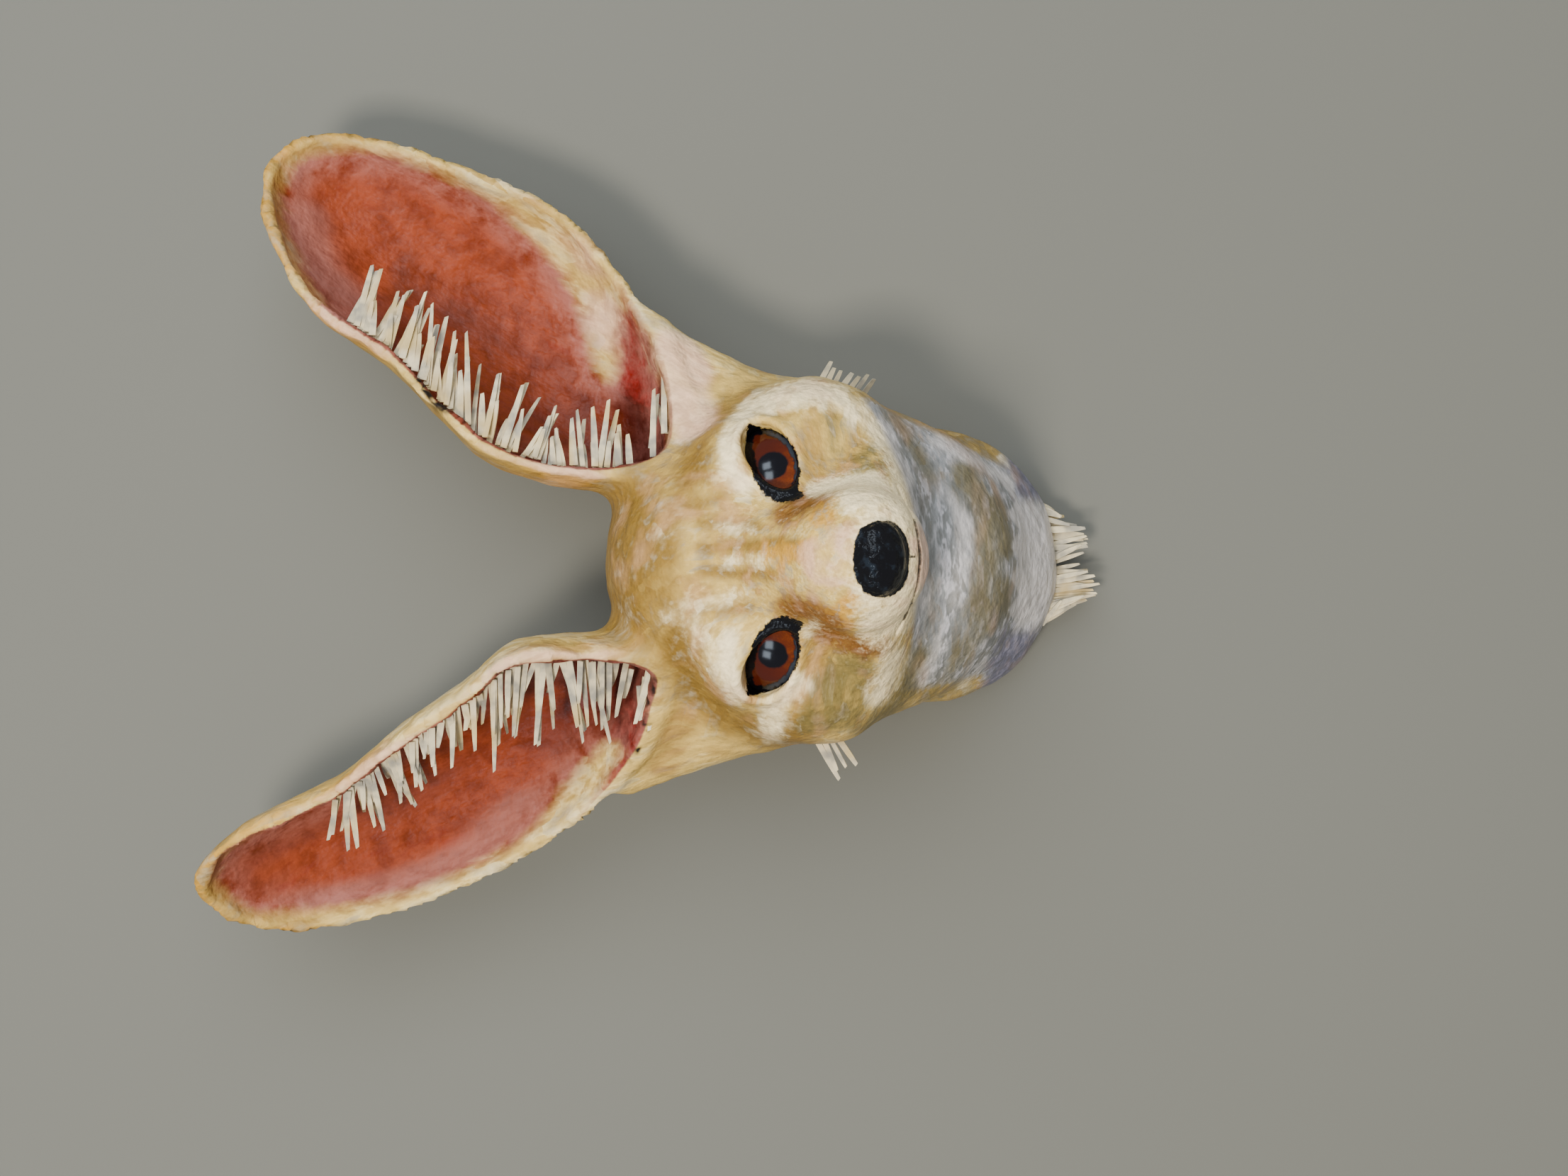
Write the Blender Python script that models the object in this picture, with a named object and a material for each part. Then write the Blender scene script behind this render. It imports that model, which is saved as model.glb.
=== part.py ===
"""Fennec fox head in painted papier-mache, made to hang on a wall.

The face looks along -Y, the ears rise along +Z and the flat back lies on the plane y = 0,
with the origin on it. Left and right are the fox's own, so left is +X. The shape tables are
in millimetres and the meshes are made in metres.
"""

import bmesh
import bpy
import numpy as np

MM = 0.001

# The paper skin
EAR_WALL = 3.2
EAR_BLEND = 11.0
RIM_ROUNDING = 1.6
GRID_STEP = 1.45
HEAD_TRIANGLES = 6900

# Head forms: centre and radii of each ellipsoid
CRANIUM = ((0.0, -52.0, 9.0), (46.0, 54.0, 44.0))
FOREHEAD = ((0.0, -78.0, 16.0), (33.0, 35.0, 30.0))
CHEEK = ((31.0, -72.0, -8.0), (22.5, 32.0, 26.0))
BROW = ((21.0, -93.0, 12.0), (17.0, 17.0, 12.0))
JAW = ((0.0, -90.0, -24.0), (33.0, 34.0, 15.0))
MUZZLE_BULB = ((0.0, -128.0, -21.5), (19.0, 17.5, 15.5))
CHIN = ((0.0, -118.0, -30.0), (13.0, 15.0, 8.0))
NECK_END = ((-0.5, -8.0, -46.0), (43.5, 40.0, 41.0))
NOSE_PAD = ((0.0, -142.0, -24.6), (9.9, 6.2, 7.1))

# Round cones: start, end, radius at the start, radius at the end
MUZZLE = ((0.0, -92.0, -5.0), (0.0, -124.0, -17.0), 25.0, 17.0)
BRIDGE = ((0.0, -98.0, 10.0), (0.0, -130.0, -12.0), 13.0, 9.0)
NECK = ((0.0, -46.0, -25.0), (0.0, -12.0, -42.0), 46.0, 41.0)

# Mouth line: height in the middle, rise at the corners, and the groove's size
MOUTH_HALF_WIDTH = 20.0
MOUTH_HEIGHT = -34.6
MOUTH_RISE = 5.5
MOUTH_OPENING = 1.5
MOUTH_DEPTH = 1.5
MOUTH_SEGMENTS = 10

# Eyes: the almond is drawn in the plane across the direction that the eye looks in
EYE_CENTRE = (27.3, -103.8, 3.1)
EYE_LOOK = (0.42, -0.89, 0.18)
EYE_LONG = 24.0
EYE_HIGH = 14.0
EYE_TILT_DEGREES = 25.0
EYE_BALL_RADIUS = 22.0
EYE_BULGE = 2.2
EYE_THICKNESS = 5.4
EYE_GAP = 0.4
EYE_SEGMENTS = 24
ORBIT_RADII = (17.5, 12.5, 11.0)
ORBIT_SINK = 10.6

# Opening of each ear: a plane, and an outline (across, up) in it that starts at the tip
LEFT_EAR = {
    "origin": (46.9, -74.8, 42.5),
    "back": (-0.407, 0.907, 0.109),
    "up": (0.483, 0.112, 0.868),
    "outline": (
        (14, 132), (26, 125), (34, 106), (39, 80), (41, 56), (33, 30), (16, 4), (0, -10),
        (-14, -14), (-27, 3), (-34, 26), (-31, 45), (-24, 68), (-21, 96), (-10, 116), (2, 128),
    ),
    "half_width": 34.0,
    "depths": ((-16.0, 35.0), (20.0, 32.0), (70.0, 27.0), (110.0, 18.0), (135.0, 11.0)),
    "strips": 21,
    "strips_from": -7.0,
    "strips_to": 86.0,
    "strip_lengths": (25.0, 17.0, 24.0, 23.0, 20.0, 23.0, 17.0),
    "strip_lift": (0.36, 0.34, 0.16, 0.28, 0.36, 0.40, 0.46),
}
RIGHT_EAR = {
    "origin": (-44.7, -77.0, 46.4),
    "back": (0.599, 0.785, 0.158),
    "up": (-0.386, 0.110, 0.916),
    "outline": (
        (4, 137), (18, 132), (29, 117), (35, 92), (36, 72), (33, 46), (26, 24), (12, 4), (-3, -9),
        (-13, -13), (-23, 2), (-31, 20), (-26, 36), (-19, 64), (-12, 88), (-11, 117), (-5, 132),
    ),
    "half_width": 30.0,
    "depths": ((-16.0, 32.0), (15.0, 24.5), (60.0, 22.5), (110.0, 18.0), (135.0, 11.0)),
    "strips": 17,
    "strips_from": -2.0,
    "strips_to": 89.0,
    "strip_lengths": (27.0, 26.0, 24.0, 17.0, 13.0, 18.0, 9.0),
    "strip_lift": (0.52, 0.50, 0.44, 0.40, 0.30, 0.36, 0.66),
}

# Root of each ear: round cones from inside the head to the lower part of the cup
LEFT_ROOT = ((28.0, -58.0, 12.0), (49.0, -57.0, 44.0), 25.0, 14.0)
RIGHT_ROOT = ((-28.0, -58.0, 12.0), (-43.0, -60.0, 44.0), 25.0, 13.0)
LEFT_FLAP = ((42.0, -58.0, 10.0), (66.0, -60.0, 37.0), 14.0, 5.0)
RIGHT_FLAP = ((-44.0, -58.0, 14.0), (-65.0, -53.0, 46.0), 14.0, 4.5)

# Paper strips
STRIP_THICKNESS = 0.6
STRIP_WIDTH = 2.4
STRIP_TIP_WIDTH = 1.0
STRIP_CLEARANCE = 0.9
BAND_WIDTH = 1.8
FRINGE_INSET = 3.0
FRINGE_CURL = 1.5
STRIP_UNEVEN = 0.1

# Cheek tufts: where the strips sit on the cheek, and how far their tips stand out and drop
LEFT_TUFT = {
    "depth": -58.0, "strips": 4, "top": -11.0, "bottom": -19.4, "reach": (3.0, 3.8, 2.6), "drop": 4.2,
}
RIGHT_TUFT = {
    "depth": -66.0, "strips": 4, "top": -8.8, "bottom": -17.2, "reach": (6.0, 7.2, 4.0), "drop": 3.8,
}

# Throat fringe: two fans under the neck's lower end
THROAT_DEPTH = -13.0
THROAT_FANS = (
    {"strips": 7, "from": -19.0, "to": -2.2, "lean": (6.0, 1.0, 0.5), "lengths": (6.0, 12.5, 13.0, 9.0)},
    {"strips": 7, "from": 1.4, "to": 18.2, "lean": (2.0, 1.0, 0.5), "lengths": (8.5, 11.0, 8.0, 2.5)},
)


def unit(vector):
    vector = np.asarray(vector, dtype=float)
    return vector / np.linalg.norm(vector)


def smooth_union(a, b, radius):
    blend = np.maximum(radius - np.abs(a - b), 0.0) / radius
    return np.minimum(a, b) - blend * blend * radius * 0.25


def smooth_cut(a, b, radius):
    """Take the form b out of the form a, with a rounded edge."""
    return -smooth_union(-a, b, radius)


def ellipsoid(x, y, z, form, side=1.0):
    (cx, cy, cz), (rx, ry, rz) = form
    dx = x - cx * side
    dy = y - cy
    dz = z - cz
    near = np.sqrt((dx / rx) ** 2 + (dy / ry) ** 2 + (dz / rz) ** 2) + 1e-6
    slope = np.sqrt((dx / rx**2) ** 2 + (dy / ry**2) ** 2 + (dz / rz**2) ** 2) + 1e-6
    return near * (near - 1.0) / slope


def round_cone(x, y, z, form):
    start, end, start_radius, end_radius = form
    axis = np.subtract(end, start)
    dx = x - start[0]
    dy = y - start[1]
    dz = z - start[2]
    along = (dx * axis[0] + dy * axis[1] + dz * axis[2]) / float(axis @ axis)
    along = np.clip(along, 0.0, 1.0)
    away = np.sqrt(
        (dx - along * axis[0]) ** 2 + (dy - along * axis[1]) ** 2 + (dz - along * axis[2]) ** 2
    )
    return away - (start_radius + (end_radius - start_radius) * along)


def smooth_loop(points, steps=5):
    """Closed curve that passes smoothly through every point (Catmull-Rom)."""
    points = np.asarray(points, dtype=float)
    before = np.roll(points, 1, axis=0)
    ahead = np.roll(points, -1, axis=0)
    beyond = np.roll(points, -2, axis=0)
    curve = []
    for share in np.arange(steps) / steps:
        bend = 2 * before - 5 * points + 4 * ahead - beyond
        twist = 3 * points - before - 3 * ahead + beyond
        curve.append(points + 0.5 * share * (ahead - before + share * (bend + share * twist)))
    return np.stack(curve, axis=1).reshape(-1, 2)


def along_table(values, share):
    """Value at a share from 0 to 1 along a short table of evenly placed values."""
    return float(np.interp(share, np.linspace(0.0, 1.0, len(values)), values))


def outline_distance(px, py, outline):
    """Signed distance from flat points to a closed outline, negative inside."""
    nearest = np.full(px.shape, 1e9)
    inside = np.zeros(px.shape, dtype=bool)
    for (ax, ay), (bx, by) in zip(outline, np.roll(outline, -1, axis=0)):
        ex = bx - ax
        ey = by - ay
        along = np.clip(((px - ax) * ex + (py - ay) * ey) / (ex * ex + ey * ey + 1e-12), 0.0, 1.0)
        away = (px - ax - along * ex) ** 2 + (py - ay - along * ey) ** 2
        nearest = np.minimum(nearest, away)
        crosses = (ay > py) != (by > py)
        inside ^= crosses & (px < (bx - ax) * (py - ay) / (by - ay + 1e-12) + ax)
    nearest = np.sqrt(nearest)
    return np.where(inside, -nearest, nearest)


class EarCup:
    """Hollow of one ear: an outline in the plane of the opening and a rounded depth behind it."""

    CELL = 1.0
    MARGIN = 60.0

    def __init__(self, table):
        self.origin = np.array(table["origin"])
        self.back = unit(table["back"])
        side = np.sign(self.origin[0])
        self.across = -side * unit(np.cross(table["up"], self.back))
        self.up = -side * np.cross(self.back, self.across)
        self.half_width = table["half_width"]
        self.depth_at = np.array(table["depths"])
        self.outline = smooth_loop(table["outline"])
        self.low = self.outline.min(axis=0) - self.MARGIN
        high = self.outline.max(axis=0) + self.MARGIN
        counts = np.ceil((high - self.low) / self.CELL).astype(int) + 1
        gx = self.low[0] + self.CELL * np.arange(counts[0])
        gy = self.low[1] + self.CELL * np.arange(counts[1])
        flat_x, flat_y = np.meshgrid(gx, gy, indexing="ij")
        self.raster = outline_distance(flat_x, flat_y, self.outline)

    def local(self, x, y, z):
        dx = x - self.origin[0]
        dy = y - self.origin[1]
        dz = z - self.origin[2]
        parts = []
        for axis in (self.across, self.up, self.back):
            parts.append(dx * axis[0] + dy * axis[1] + dz * axis[2])
        return parts

    def world(self, across, up, back):
        return self.origin + self.across * across + self.up * up + self.back * back

    def flat_distance(self, across, up):
        rows, columns = self.raster.shape
        fx = np.clip((across - self.low[0]) / self.CELL, 0.0, rows - 1.001)
        fy = np.clip((up - self.low[1]) / self.CELL, 0.0, columns - 1.001)
        ix = fx.astype(np.int32)
        iy = fy.astype(np.int32)
        fx = fx - ix
        fy = fy - iy
        below = self.raster[ix, iy] * (1 - fx) + self.raster[ix + 1, iy] * fx
        above = self.raster[ix, iy + 1] * (1 - fx) + self.raster[ix + 1, iy + 1] * fx
        return below * (1 - fy) + above * fy

    def distance(self, x, y, z, step):
        """Distance to the hollow, which also reaches forward out of the opening."""
        across, up, back = self.local(x, y, z)
        flat = self.flat_distance(across, up)
        depth = np.interp(up, self.depth_at[:, 0], self.depth_at[:, 1])
        inset = np.maximum(1.0 + flat / self.half_width, 0.0)
        deep = np.maximum(back, 0.0) / depth
        value = (inset**2.1 + deep**2.1) ** (1 / 2.1) - 1.0
        slope = np.sqrt(sum(part**2 for part in np.gradient(value, step)))
        near = value / np.maximum(slope, 0.35 / self.half_width)
        return np.where(back < 0.0, flat, near), back


def head_forms(x, y, z):
    """Skull, face and neck, without the ears."""
    skin = smooth_union(ellipsoid(x, y, z, CRANIUM), ellipsoid(x, y, z, FOREHEAD), 14.0)
    for side in (1.0, -1.0):
        skin = smooth_union(skin, ellipsoid(x, y, z, CHEEK, side), 16.0)
        skin = smooth_union(skin, ellipsoid(x, y, z, BROW, side), 9.0)
    skin = smooth_union(skin, round_cone(x, y, z, MUZZLE), 12.0)
    skin = smooth_union(skin, round_cone(x, y, z, BRIDGE), 8.0)
    skin = smooth_union(skin, ellipsoid(x, y, z, JAW), 10.0)
    skin = smooth_union(skin, ellipsoid(x, y, z, MUZZLE_BULB), 6.0)
    skin = smooth_union(skin, ellipsoid(x, y, z, CHIN), 5.0)
    skin = smooth_union(skin, round_cone(x, y, z, NECK), 12.0)
    skin = smooth_union(skin, ellipsoid(x, y, z, NECK_END), 6.0)
    for side in (1.0, -1.0):
        skin = smooth_union(skin, orbit(x, y, z, side), 8.0)
    skin = smooth_union(skin, ellipsoid(x, y, z, NOSE_PAD), 1.2)
    return skin


def orbit(x, y, z, side):
    """Rounded swelling that each eye is set in."""
    long_way, high_way, look = eye_frame(side)
    centre = np.array((EYE_CENTRE[0] * side, EYE_CENTRE[1], EYE_CENTRE[2])) - look * ORBIT_SINK
    local = []
    for axis in (long_way, high_way, look):
        local.append((x - centre[0]) * axis[0] + (y - centre[1]) * axis[1] + (z - centre[2]) * axis[2])
    return ellipsoid(*local, ((0.0, 0.0, 0.0), ORBIT_RADII))


def skin_distance(x, y, z, step):
    """The whole paper skin: head, neck and both cupped ears."""
    skin = smooth_union(head_forms(x, y, z), round_cone(x, y, z, RIGHT_FLAP), 8.0)
    skin = smooth_union(skin, round_cone(x, y, z, LEFT_FLAP), 8.0)
    hollows = []
    for cup, root in ((EarCup(LEFT_EAR), LEFT_ROOT), (EarCup(RIGHT_EAR), RIGHT_ROOT)):
        hollow, back = cup.distance(x, y, z, step)
        shell = smooth_cut(hollow - EAR_WALL, back, RIM_ROUNDING)
        skin = smooth_union(skin, round_cone(x, y, z, root), 10.0)
        skin = smooth_union(skin, shell, EAR_BLEND)
        hollows.append(hollow)
    for hollow in hollows:
        skin = smooth_cut(skin, hollow, RIM_ROUNDING)
    return skin


def surface_net(values, low, step):
    """Turn a grid of distances into points and four-sided faces, facing outward."""
    inside = values < 0.0
    nx, ny, nz = (size - 1 for size in values.shape)
    corners = []
    for corner in range(8):
        i, j, k = corner & 1, (corner >> 1) & 1, (corner >> 2) & 1
        corners.append((slice(i, nx + i), slice(j, ny + j), slice(k, nz + k)))
    count = sum(inside[corner].astype(np.int8) for corner in corners)
    cells = np.argwhere((count > 0) & (count < 8))
    number = np.full((nx, ny, nz), -1, dtype=np.int64)
    number[tuple(cells.T)] = np.arange(len(cells))
    heights = []
    for corner in range(8):
        offset = np.array([corner & 1, (corner >> 1) & 1, (corner >> 2) & 1])
        heights.append(values[tuple((cells + offset).T)])
    total = np.zeros((len(cells), 3))
    hits = np.zeros(len(cells))
    for first in range(8):
        for bit in (1, 2, 4):
            second = first | bit
            if second == first:
                continue
            a = heights[first]
            b = heights[second]
            crossing = (a < 0.0) != (b < 0.0)
            share = np.where(crossing, a / np.where(crossing, a - b, 1.0), 0.0)
            start = np.array([first & 1, (first >> 1) & 1, (first >> 2) & 1], dtype=float)
            way = np.array([bit & 1, (bit >> 1) & 1, (bit >> 2) & 1], dtype=float)
            total += np.where(crossing[:, None], start + share[:, None] * way, 0.0)
            hits += crossing
    points = np.asarray(low) + step * (cells + total / hits[:, None])
    faces = []
    for axis in range(3):
        other, third = (axis + 1) % 3, (axis + 2) % 3
        lower = [slice(1, size) for size in (nx, ny, nz)]
        upper = [slice(1, size) for size in (nx, ny, nz)]
        lower[axis] = slice(0, (nx, ny, nz)[axis])
        upper[axis] = slice(1, (nx, ny, nz)[axis] + 1)
        starts = inside[tuple(lower)]
        ends = inside[tuple(upper)]
        base = np.argwhere(starts != ends)
        shift = np.ones(3, dtype=int)
        shift[axis] = 0
        base = base + shift
        leaves = inside[tuple(base.T)]
        quad = []
        for a, b in ((-1, -1), (0, -1), (0, 0), (-1, 0)):
            cell = base.copy()
            cell[:, other] += a
            cell[:, third] += b
            quad.append(number[tuple(cell.T)])
        quad = np.stack(quad, axis=1)
        quad[~leaves] = quad[~leaves][:, ::-1]
        faces.append(quad)
    return points, np.concatenate(faces)


def make_object(name, points, faces, material):
    mesh = bpy.data.meshes.new(name)
    mesh.from_pydata((np.asarray(points) * MM).tolist(), [], [list(face) for face in faces])
    mesh.validate()
    mesh.materials.append(material)
    thing = bpy.data.objects.new(name, mesh)
    bpy.context.scene.collection.objects.link(thing)
    return thing


def make_material(name, colour, roughness):
    material = bpy.data.materials.new(name)
    material.use_nodes = True
    shader = material.node_tree.nodes["Principled BSDF"]
    shader.inputs["Base Color"].default_value = (*colour, 1.0)
    shader.inputs["Roughness"].default_value = roughness
    material.diffuse_color = (*colour, 1.0)
    return material


def bake_modifiers(thing):
    """Replace the object's mesh by what its modifiers give."""
    graph = bpy.context.evaluated_depsgraph_get()
    mesh = bpy.data.meshes.new_from_object(thing.evaluated_get(graph))
    thing.modifiers.clear()
    thing.data = mesh


def flatten_back(thing):
    """Cut the skin on the wall plane and close it with one flat face."""
    work = bmesh.new()
    work.from_mesh(thing.data)
    around = work.verts[:] + work.edges[:] + work.faces[:]
    bmesh.ops.bisect_plane(
        work, geom=around, dist=1e-6, plane_co=(0, 0, 0), plane_no=(0, 1, 0), clear_outer=True
    )
    open_edges = [edge for edge in work.edges if edge.is_boundary]
    bmesh.ops.holes_fill(work, edges=open_edges, sides=0)
    bmesh.ops.triangulate(work, faces=work.faces[:])
    bmesh.ops.recalc_face_normals(work, faces=work.faces[:])
    work.to_mesh(thing.data)
    work.free()


def eye_frame(side):
    """Directions across, up and out of one eye, with the almond's tilt."""
    look = unit((EYE_LOOK[0] * side, EYE_LOOK[1], EYE_LOOK[2]))
    level = unit(np.cross((0.0, 0.0, 1.0), look))
    across = level * side
    up = np.cross(look, level)
    tilt = np.radians(EYE_TILT_DEGREES)
    long_way = across * np.cos(tilt) + up * np.sin(tilt)
    high_way = up * np.cos(tilt) - across * np.sin(tilt)
    return long_way, high_way, look


def almond(grow):
    """Outline of the eye in its own plane: long axis outward, pointed inner corner."""
    points = []
    for index in range(EYE_SEGMENTS):
        turn = 2.0 * np.pi * index / EYE_SEGMENTS
        along = np.cos(turn)
        high = np.sin(turn)
        narrow = 1.0 - 0.20 * (1.0 - along) * 0.5 - 0.10 * along * along
        half_long = EYE_LONG / 2.0 + grow
        half_high = EYE_HIGH / 2.0 + grow
        points.append((half_long * along, half_high * high * narrow))
    return points


def make_eye(name, side, material):
    """Glossy dome that sits in its socket with a small gap all round."""
    long_way, high_way, look = eye_frame(side)
    centre = np.array((EYE_CENTRE[0] * side, EYE_CENTRE[1], EYE_CENTRE[2]))
    ring_shares = (1.0, 0.82, 0.55, 0.27)
    outline = almond(0.0)
    points = []
    for along, high in outline:
        points.append(centre + long_way * along + high_way * high - look * (EYE_THICKNESS - EYE_BULGE))
    for share in ring_shares:
        for along, high in outline:
            off = np.hypot(along, high) * share
            rise = np.sqrt(EYE_BALL_RADIUS**2 - off**2) - EYE_BALL_RADIUS + EYE_BULGE
            points.append(
                centre + long_way * along * share + high_way * high * share + look * rise
            )
    points.append(centre + look * EYE_BULGE)
    count = len(outline)
    faces = [list(range(count))]
    for ring in range(len(ring_shares)):
        for index in range(count):
            ahead = (index + 1) % count
            low = ring * count
            high = low + count
            faces.append([low + index, low + ahead, high + ahead, high + index])
    last = len(ring_shares) * count
    for index in range(count):
        faces.append([last + index, last + (index + 1) % count, len(points) - 1])
    eye = make_object(name, points, faces, material)
    face_outward(eye)
    return eye


def face_outward(thing):
    work = bmesh.new()
    work.from_mesh(thing.data)
    bmesh.ops.triangulate(work, faces=work.faces[:])
    bmesh.ops.recalc_face_normals(work, faces=work.faces[:])
    work.to_mesh(thing.data)
    work.free()


def cut_socket(head, side, material):
    """Sink an almond recess into the head for one eye."""
    long_way, high_way, look = eye_frame(side)
    centre = np.array((EYE_CENTRE[0] * side, EYE_CENTRE[1], EYE_CENTRE[2]))
    outline = almond(EYE_GAP)
    points = []
    for height in (-(EYE_THICKNESS - EYE_BULGE) - EYE_GAP, 16.0):
        spread = 1.0 if height < 0.0 else 1.22
        for along, high in outline:
            points.append(
                centre + long_way * along * spread + high_way * high * spread + look * height
            )
    count = len(outline)
    faces = [list(range(count)), list(range(count, 2 * count))]
    for index in range(count):
        ahead = (index + 1) % count
        faces.append([index, ahead, count + ahead, count + index])
    cutter = make_object("socket_cutter", points, faces, material)
    face_outward(cutter)
    subtract(head, cutter)


def skin_box():
    """Low and high corner of a box with room round the whole skin."""
    reach = []
    for table in (LEFT_EAR, RIGHT_EAR):
        cup = EarCup(table)
        reach += [cup.world(across, up, 0.0) for across, up in cup.outline]
    for side in (1.0, -1.0):
        for centre, radii in (CRANIUM, CHEEK, MUZZLE_BULB, NOSE_PAD, NECK_END):
            middle = np.array((centre[0] * side, centre[1], centre[2]))
            reach += [middle - radii, middle + radii]
    room = EAR_WALL + EAR_BLEND / 2.0 + 3.0
    low = np.min(reach, axis=0) - room
    high = np.max(reach, axis=0) + room
    high[1] = 6.0
    return low, high


def soften(values):
    """Even the grid out a little, so that the thin rims polygonise cleanly."""
    for axis in range(3):
        padded = np.pad(values, [(1, 1) if other == axis else (0, 0) for other in range(3)], "edge")
        before = np.take(padded, range(0, values.shape[axis]), axis)
        after = np.take(padded, range(2, values.shape[axis] + 2), axis)
        values = values * 0.5 + before * 0.25 + after * 0.25
    return values


def close_pinches(values):
    """Fill grid points where the skin would touch itself along an edge or at a point."""
    for _ in range(5):
        inside = values < 0.0
        fill = np.zeros(values.shape, dtype=bool)
        for axis in range(3):
            turned = np.moveaxis(inside, axis, 0)
            filled = np.moveaxis(fill, axis, 0)
            corners = []
            for a, b in ((0, 0), (1, 0), (1, 1), (0, 1)):
                rows = slice(a, turned.shape[1] - 1 + a)
                columns = slice(b, turned.shape[2] - 1 + b)
                corners.append((slice(None), rows, columns))
            p, q, r, s = (turned[corner] for corner in corners)
            crossed = (p & r & ~q & ~s) | (~p & ~r & q & s)
            for corner in corners:
                filled[corner] |= crossed
        cells = []
        for corner in range(8):
            starts = (corner & 1, (corner >> 1) & 1, (corner >> 2) & 1)
            cells.append(tuple(slice(i, size - 1 + i) for i, size in zip(starts, inside.shape)))
        count = sum(inside[cell].astype(np.int8) for cell in cells)
        for corner in range(4):
            first = inside[cells[corner]]
            second = inside[cells[7 - corner]]
            crossed = (first & second & (count == 2)) | (~first & ~second & (count == 6))
            for cell in cells:
                fill[cell] |= crossed
        fill &= ~inside
        if not fill.any():
            break
        values = np.where(fill, -0.05, values)
    return values


class SkinGrid:
    """The skin's distances on a regular grid, to be polygonised or read between grid points."""

    def __init__(self, step):
        self.step = step
        self.low, high = skin_box()
        counts = np.ceil((high - self.low) / step).astype(int) + 1
        lines = [self.low[axis] + step * np.arange(counts[axis]) for axis in range(3)]
        x, y, z = np.meshgrid(*lines, indexing="ij")
        self.values = soften(skin_distance(x, y, z, step))
        self.beyond_wall = y - 4.0

    def at(self, point):
        place = (np.asarray(point) - self.low) / self.step
        cell = np.floor(place).astype(int)
        share = place - cell
        total = 0.0
        for corner in range(8):
            offset = np.array([corner & 1, (corner >> 1) & 1, (corner >> 2) & 1])
            weight = np.prod(np.where(offset, share, 1.0 - share))
            total += weight * self.values[tuple(cell + offset)]
        return total

    def approach(self, start, way, clearance):
        """Walk from outside the skin until the clearance is all that is left."""
        point = np.asarray(start, dtype=float)
        way = unit(way)
        for _ in range(400):
            left = self.at(point) - clearance
            if left < 0.02:
                break
            point = point + way * max(0.3 * left, 0.01)
        return point


def cut_mouth(head, grid, material):
    """Score the curved mouth line across the front of the muzzle."""
    points = []
    faces = []
    for index in range(MOUTH_SEGMENTS + 1):
        across = MOUTH_HALF_WIDTH * (2.0 * index / MOUTH_SEGMENTS - 1.0)
        height = MOUTH_HEIGHT + MOUTH_RISE * (across / MOUTH_HALF_WIDTH) ** 2
        surface = grid.approach((across, -158.0, height), (0.0, 1.0, 0.0), 0.0)
        outward = unit((across * 0.5, surface[1] + 112.0, -6.0))
        fade = 1.0 - 0.7 * abs(across / MOUTH_HALF_WIDTH) ** 3
        lift = np.array((0.0, 0.0, MOUTH_OPENING / 2.0)) * fade
        points.append(surface + outward * 1.5 + lift * 2.0)
        points.append(surface + outward * 1.5 - lift * 2.0)
        points.append(surface - outward * MOUTH_DEPTH * fade)
    for index in range(MOUTH_SEGMENTS):
        for corner in range(3):
            ahead = (corner + 1) % 3
            here = index * 3
            there = here + 3
            faces.append([here + corner, here + ahead, there + ahead, there + corner])
    faces.append([0, 1, 2])
    faces.append([len(points) - 3, len(points) - 2, len(points) - 1])
    cutter = make_object("mouth_cutter", points, faces, material)
    face_outward(cutter)
    subtract(head, cutter)


def subtract(thing, cutter):
    modifier = thing.modifiers.new("cut", "BOOLEAN")
    modifier.operation = "DIFFERENCE"
    modifier.solver = "EXACT"
    modifier.object = cutter
    bake_modifiers(thing)
    bpy.data.objects.remove(cutter)


def make_comb(name, strips, material):
    """Paper strips cut into one band: each strip gives its base, root, middle, tip and axes."""
    sheet = []
    normals = []
    faces = []
    for strip in strips:
        half = unit(strip["along"]) * STRIP_WIDTH / 2.0
        tip_half = unit(strip["along"]) * STRIP_TIP_WIDTH / 2.0
        for place, reach in (("base", half), ("root", half), ("middle", half * 0.85), ("tip", tip_half)):
            sheet.append(np.asarray(strip[place]) - reach)
            sheet.append(np.asarray(strip[place]) + reach)
            normals.append(unit(strip["normal"]))
            normals.append(unit(strip["normal"]))
    for index in range(len(strips)):
        first = index * 8
        for row in (0, 2, 4):
            faces.append([first + row, first + row + 1, first + row + 3, first + row + 2])
        if index + 1 < len(strips):
            after = first + 8
            faces.append([first + 1, after, after + 2, first + 3])
    sheet = np.array(sheet)
    normals = np.array(normals) * STRIP_THICKNESS / 2.0
    count = len(sheet)
    points = np.concatenate([sheet + normals, sheet - normals])
    solid = [list(face) for face in faces]
    solid += [[count + corner for corner in reversed(face)] for face in faces]
    edges = set()
    for face in faces:
        for corner, start in enumerate(face):
            edges.add((start, face[(corner + 1) % 4]))
    for start, end in edges:
        if (end, start) not in edges:
            solid.append([end, start, count + start, count + end])
    comb = make_object(name, points, sorted(solid), material)
    face_outward(comb)
    return comb


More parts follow.
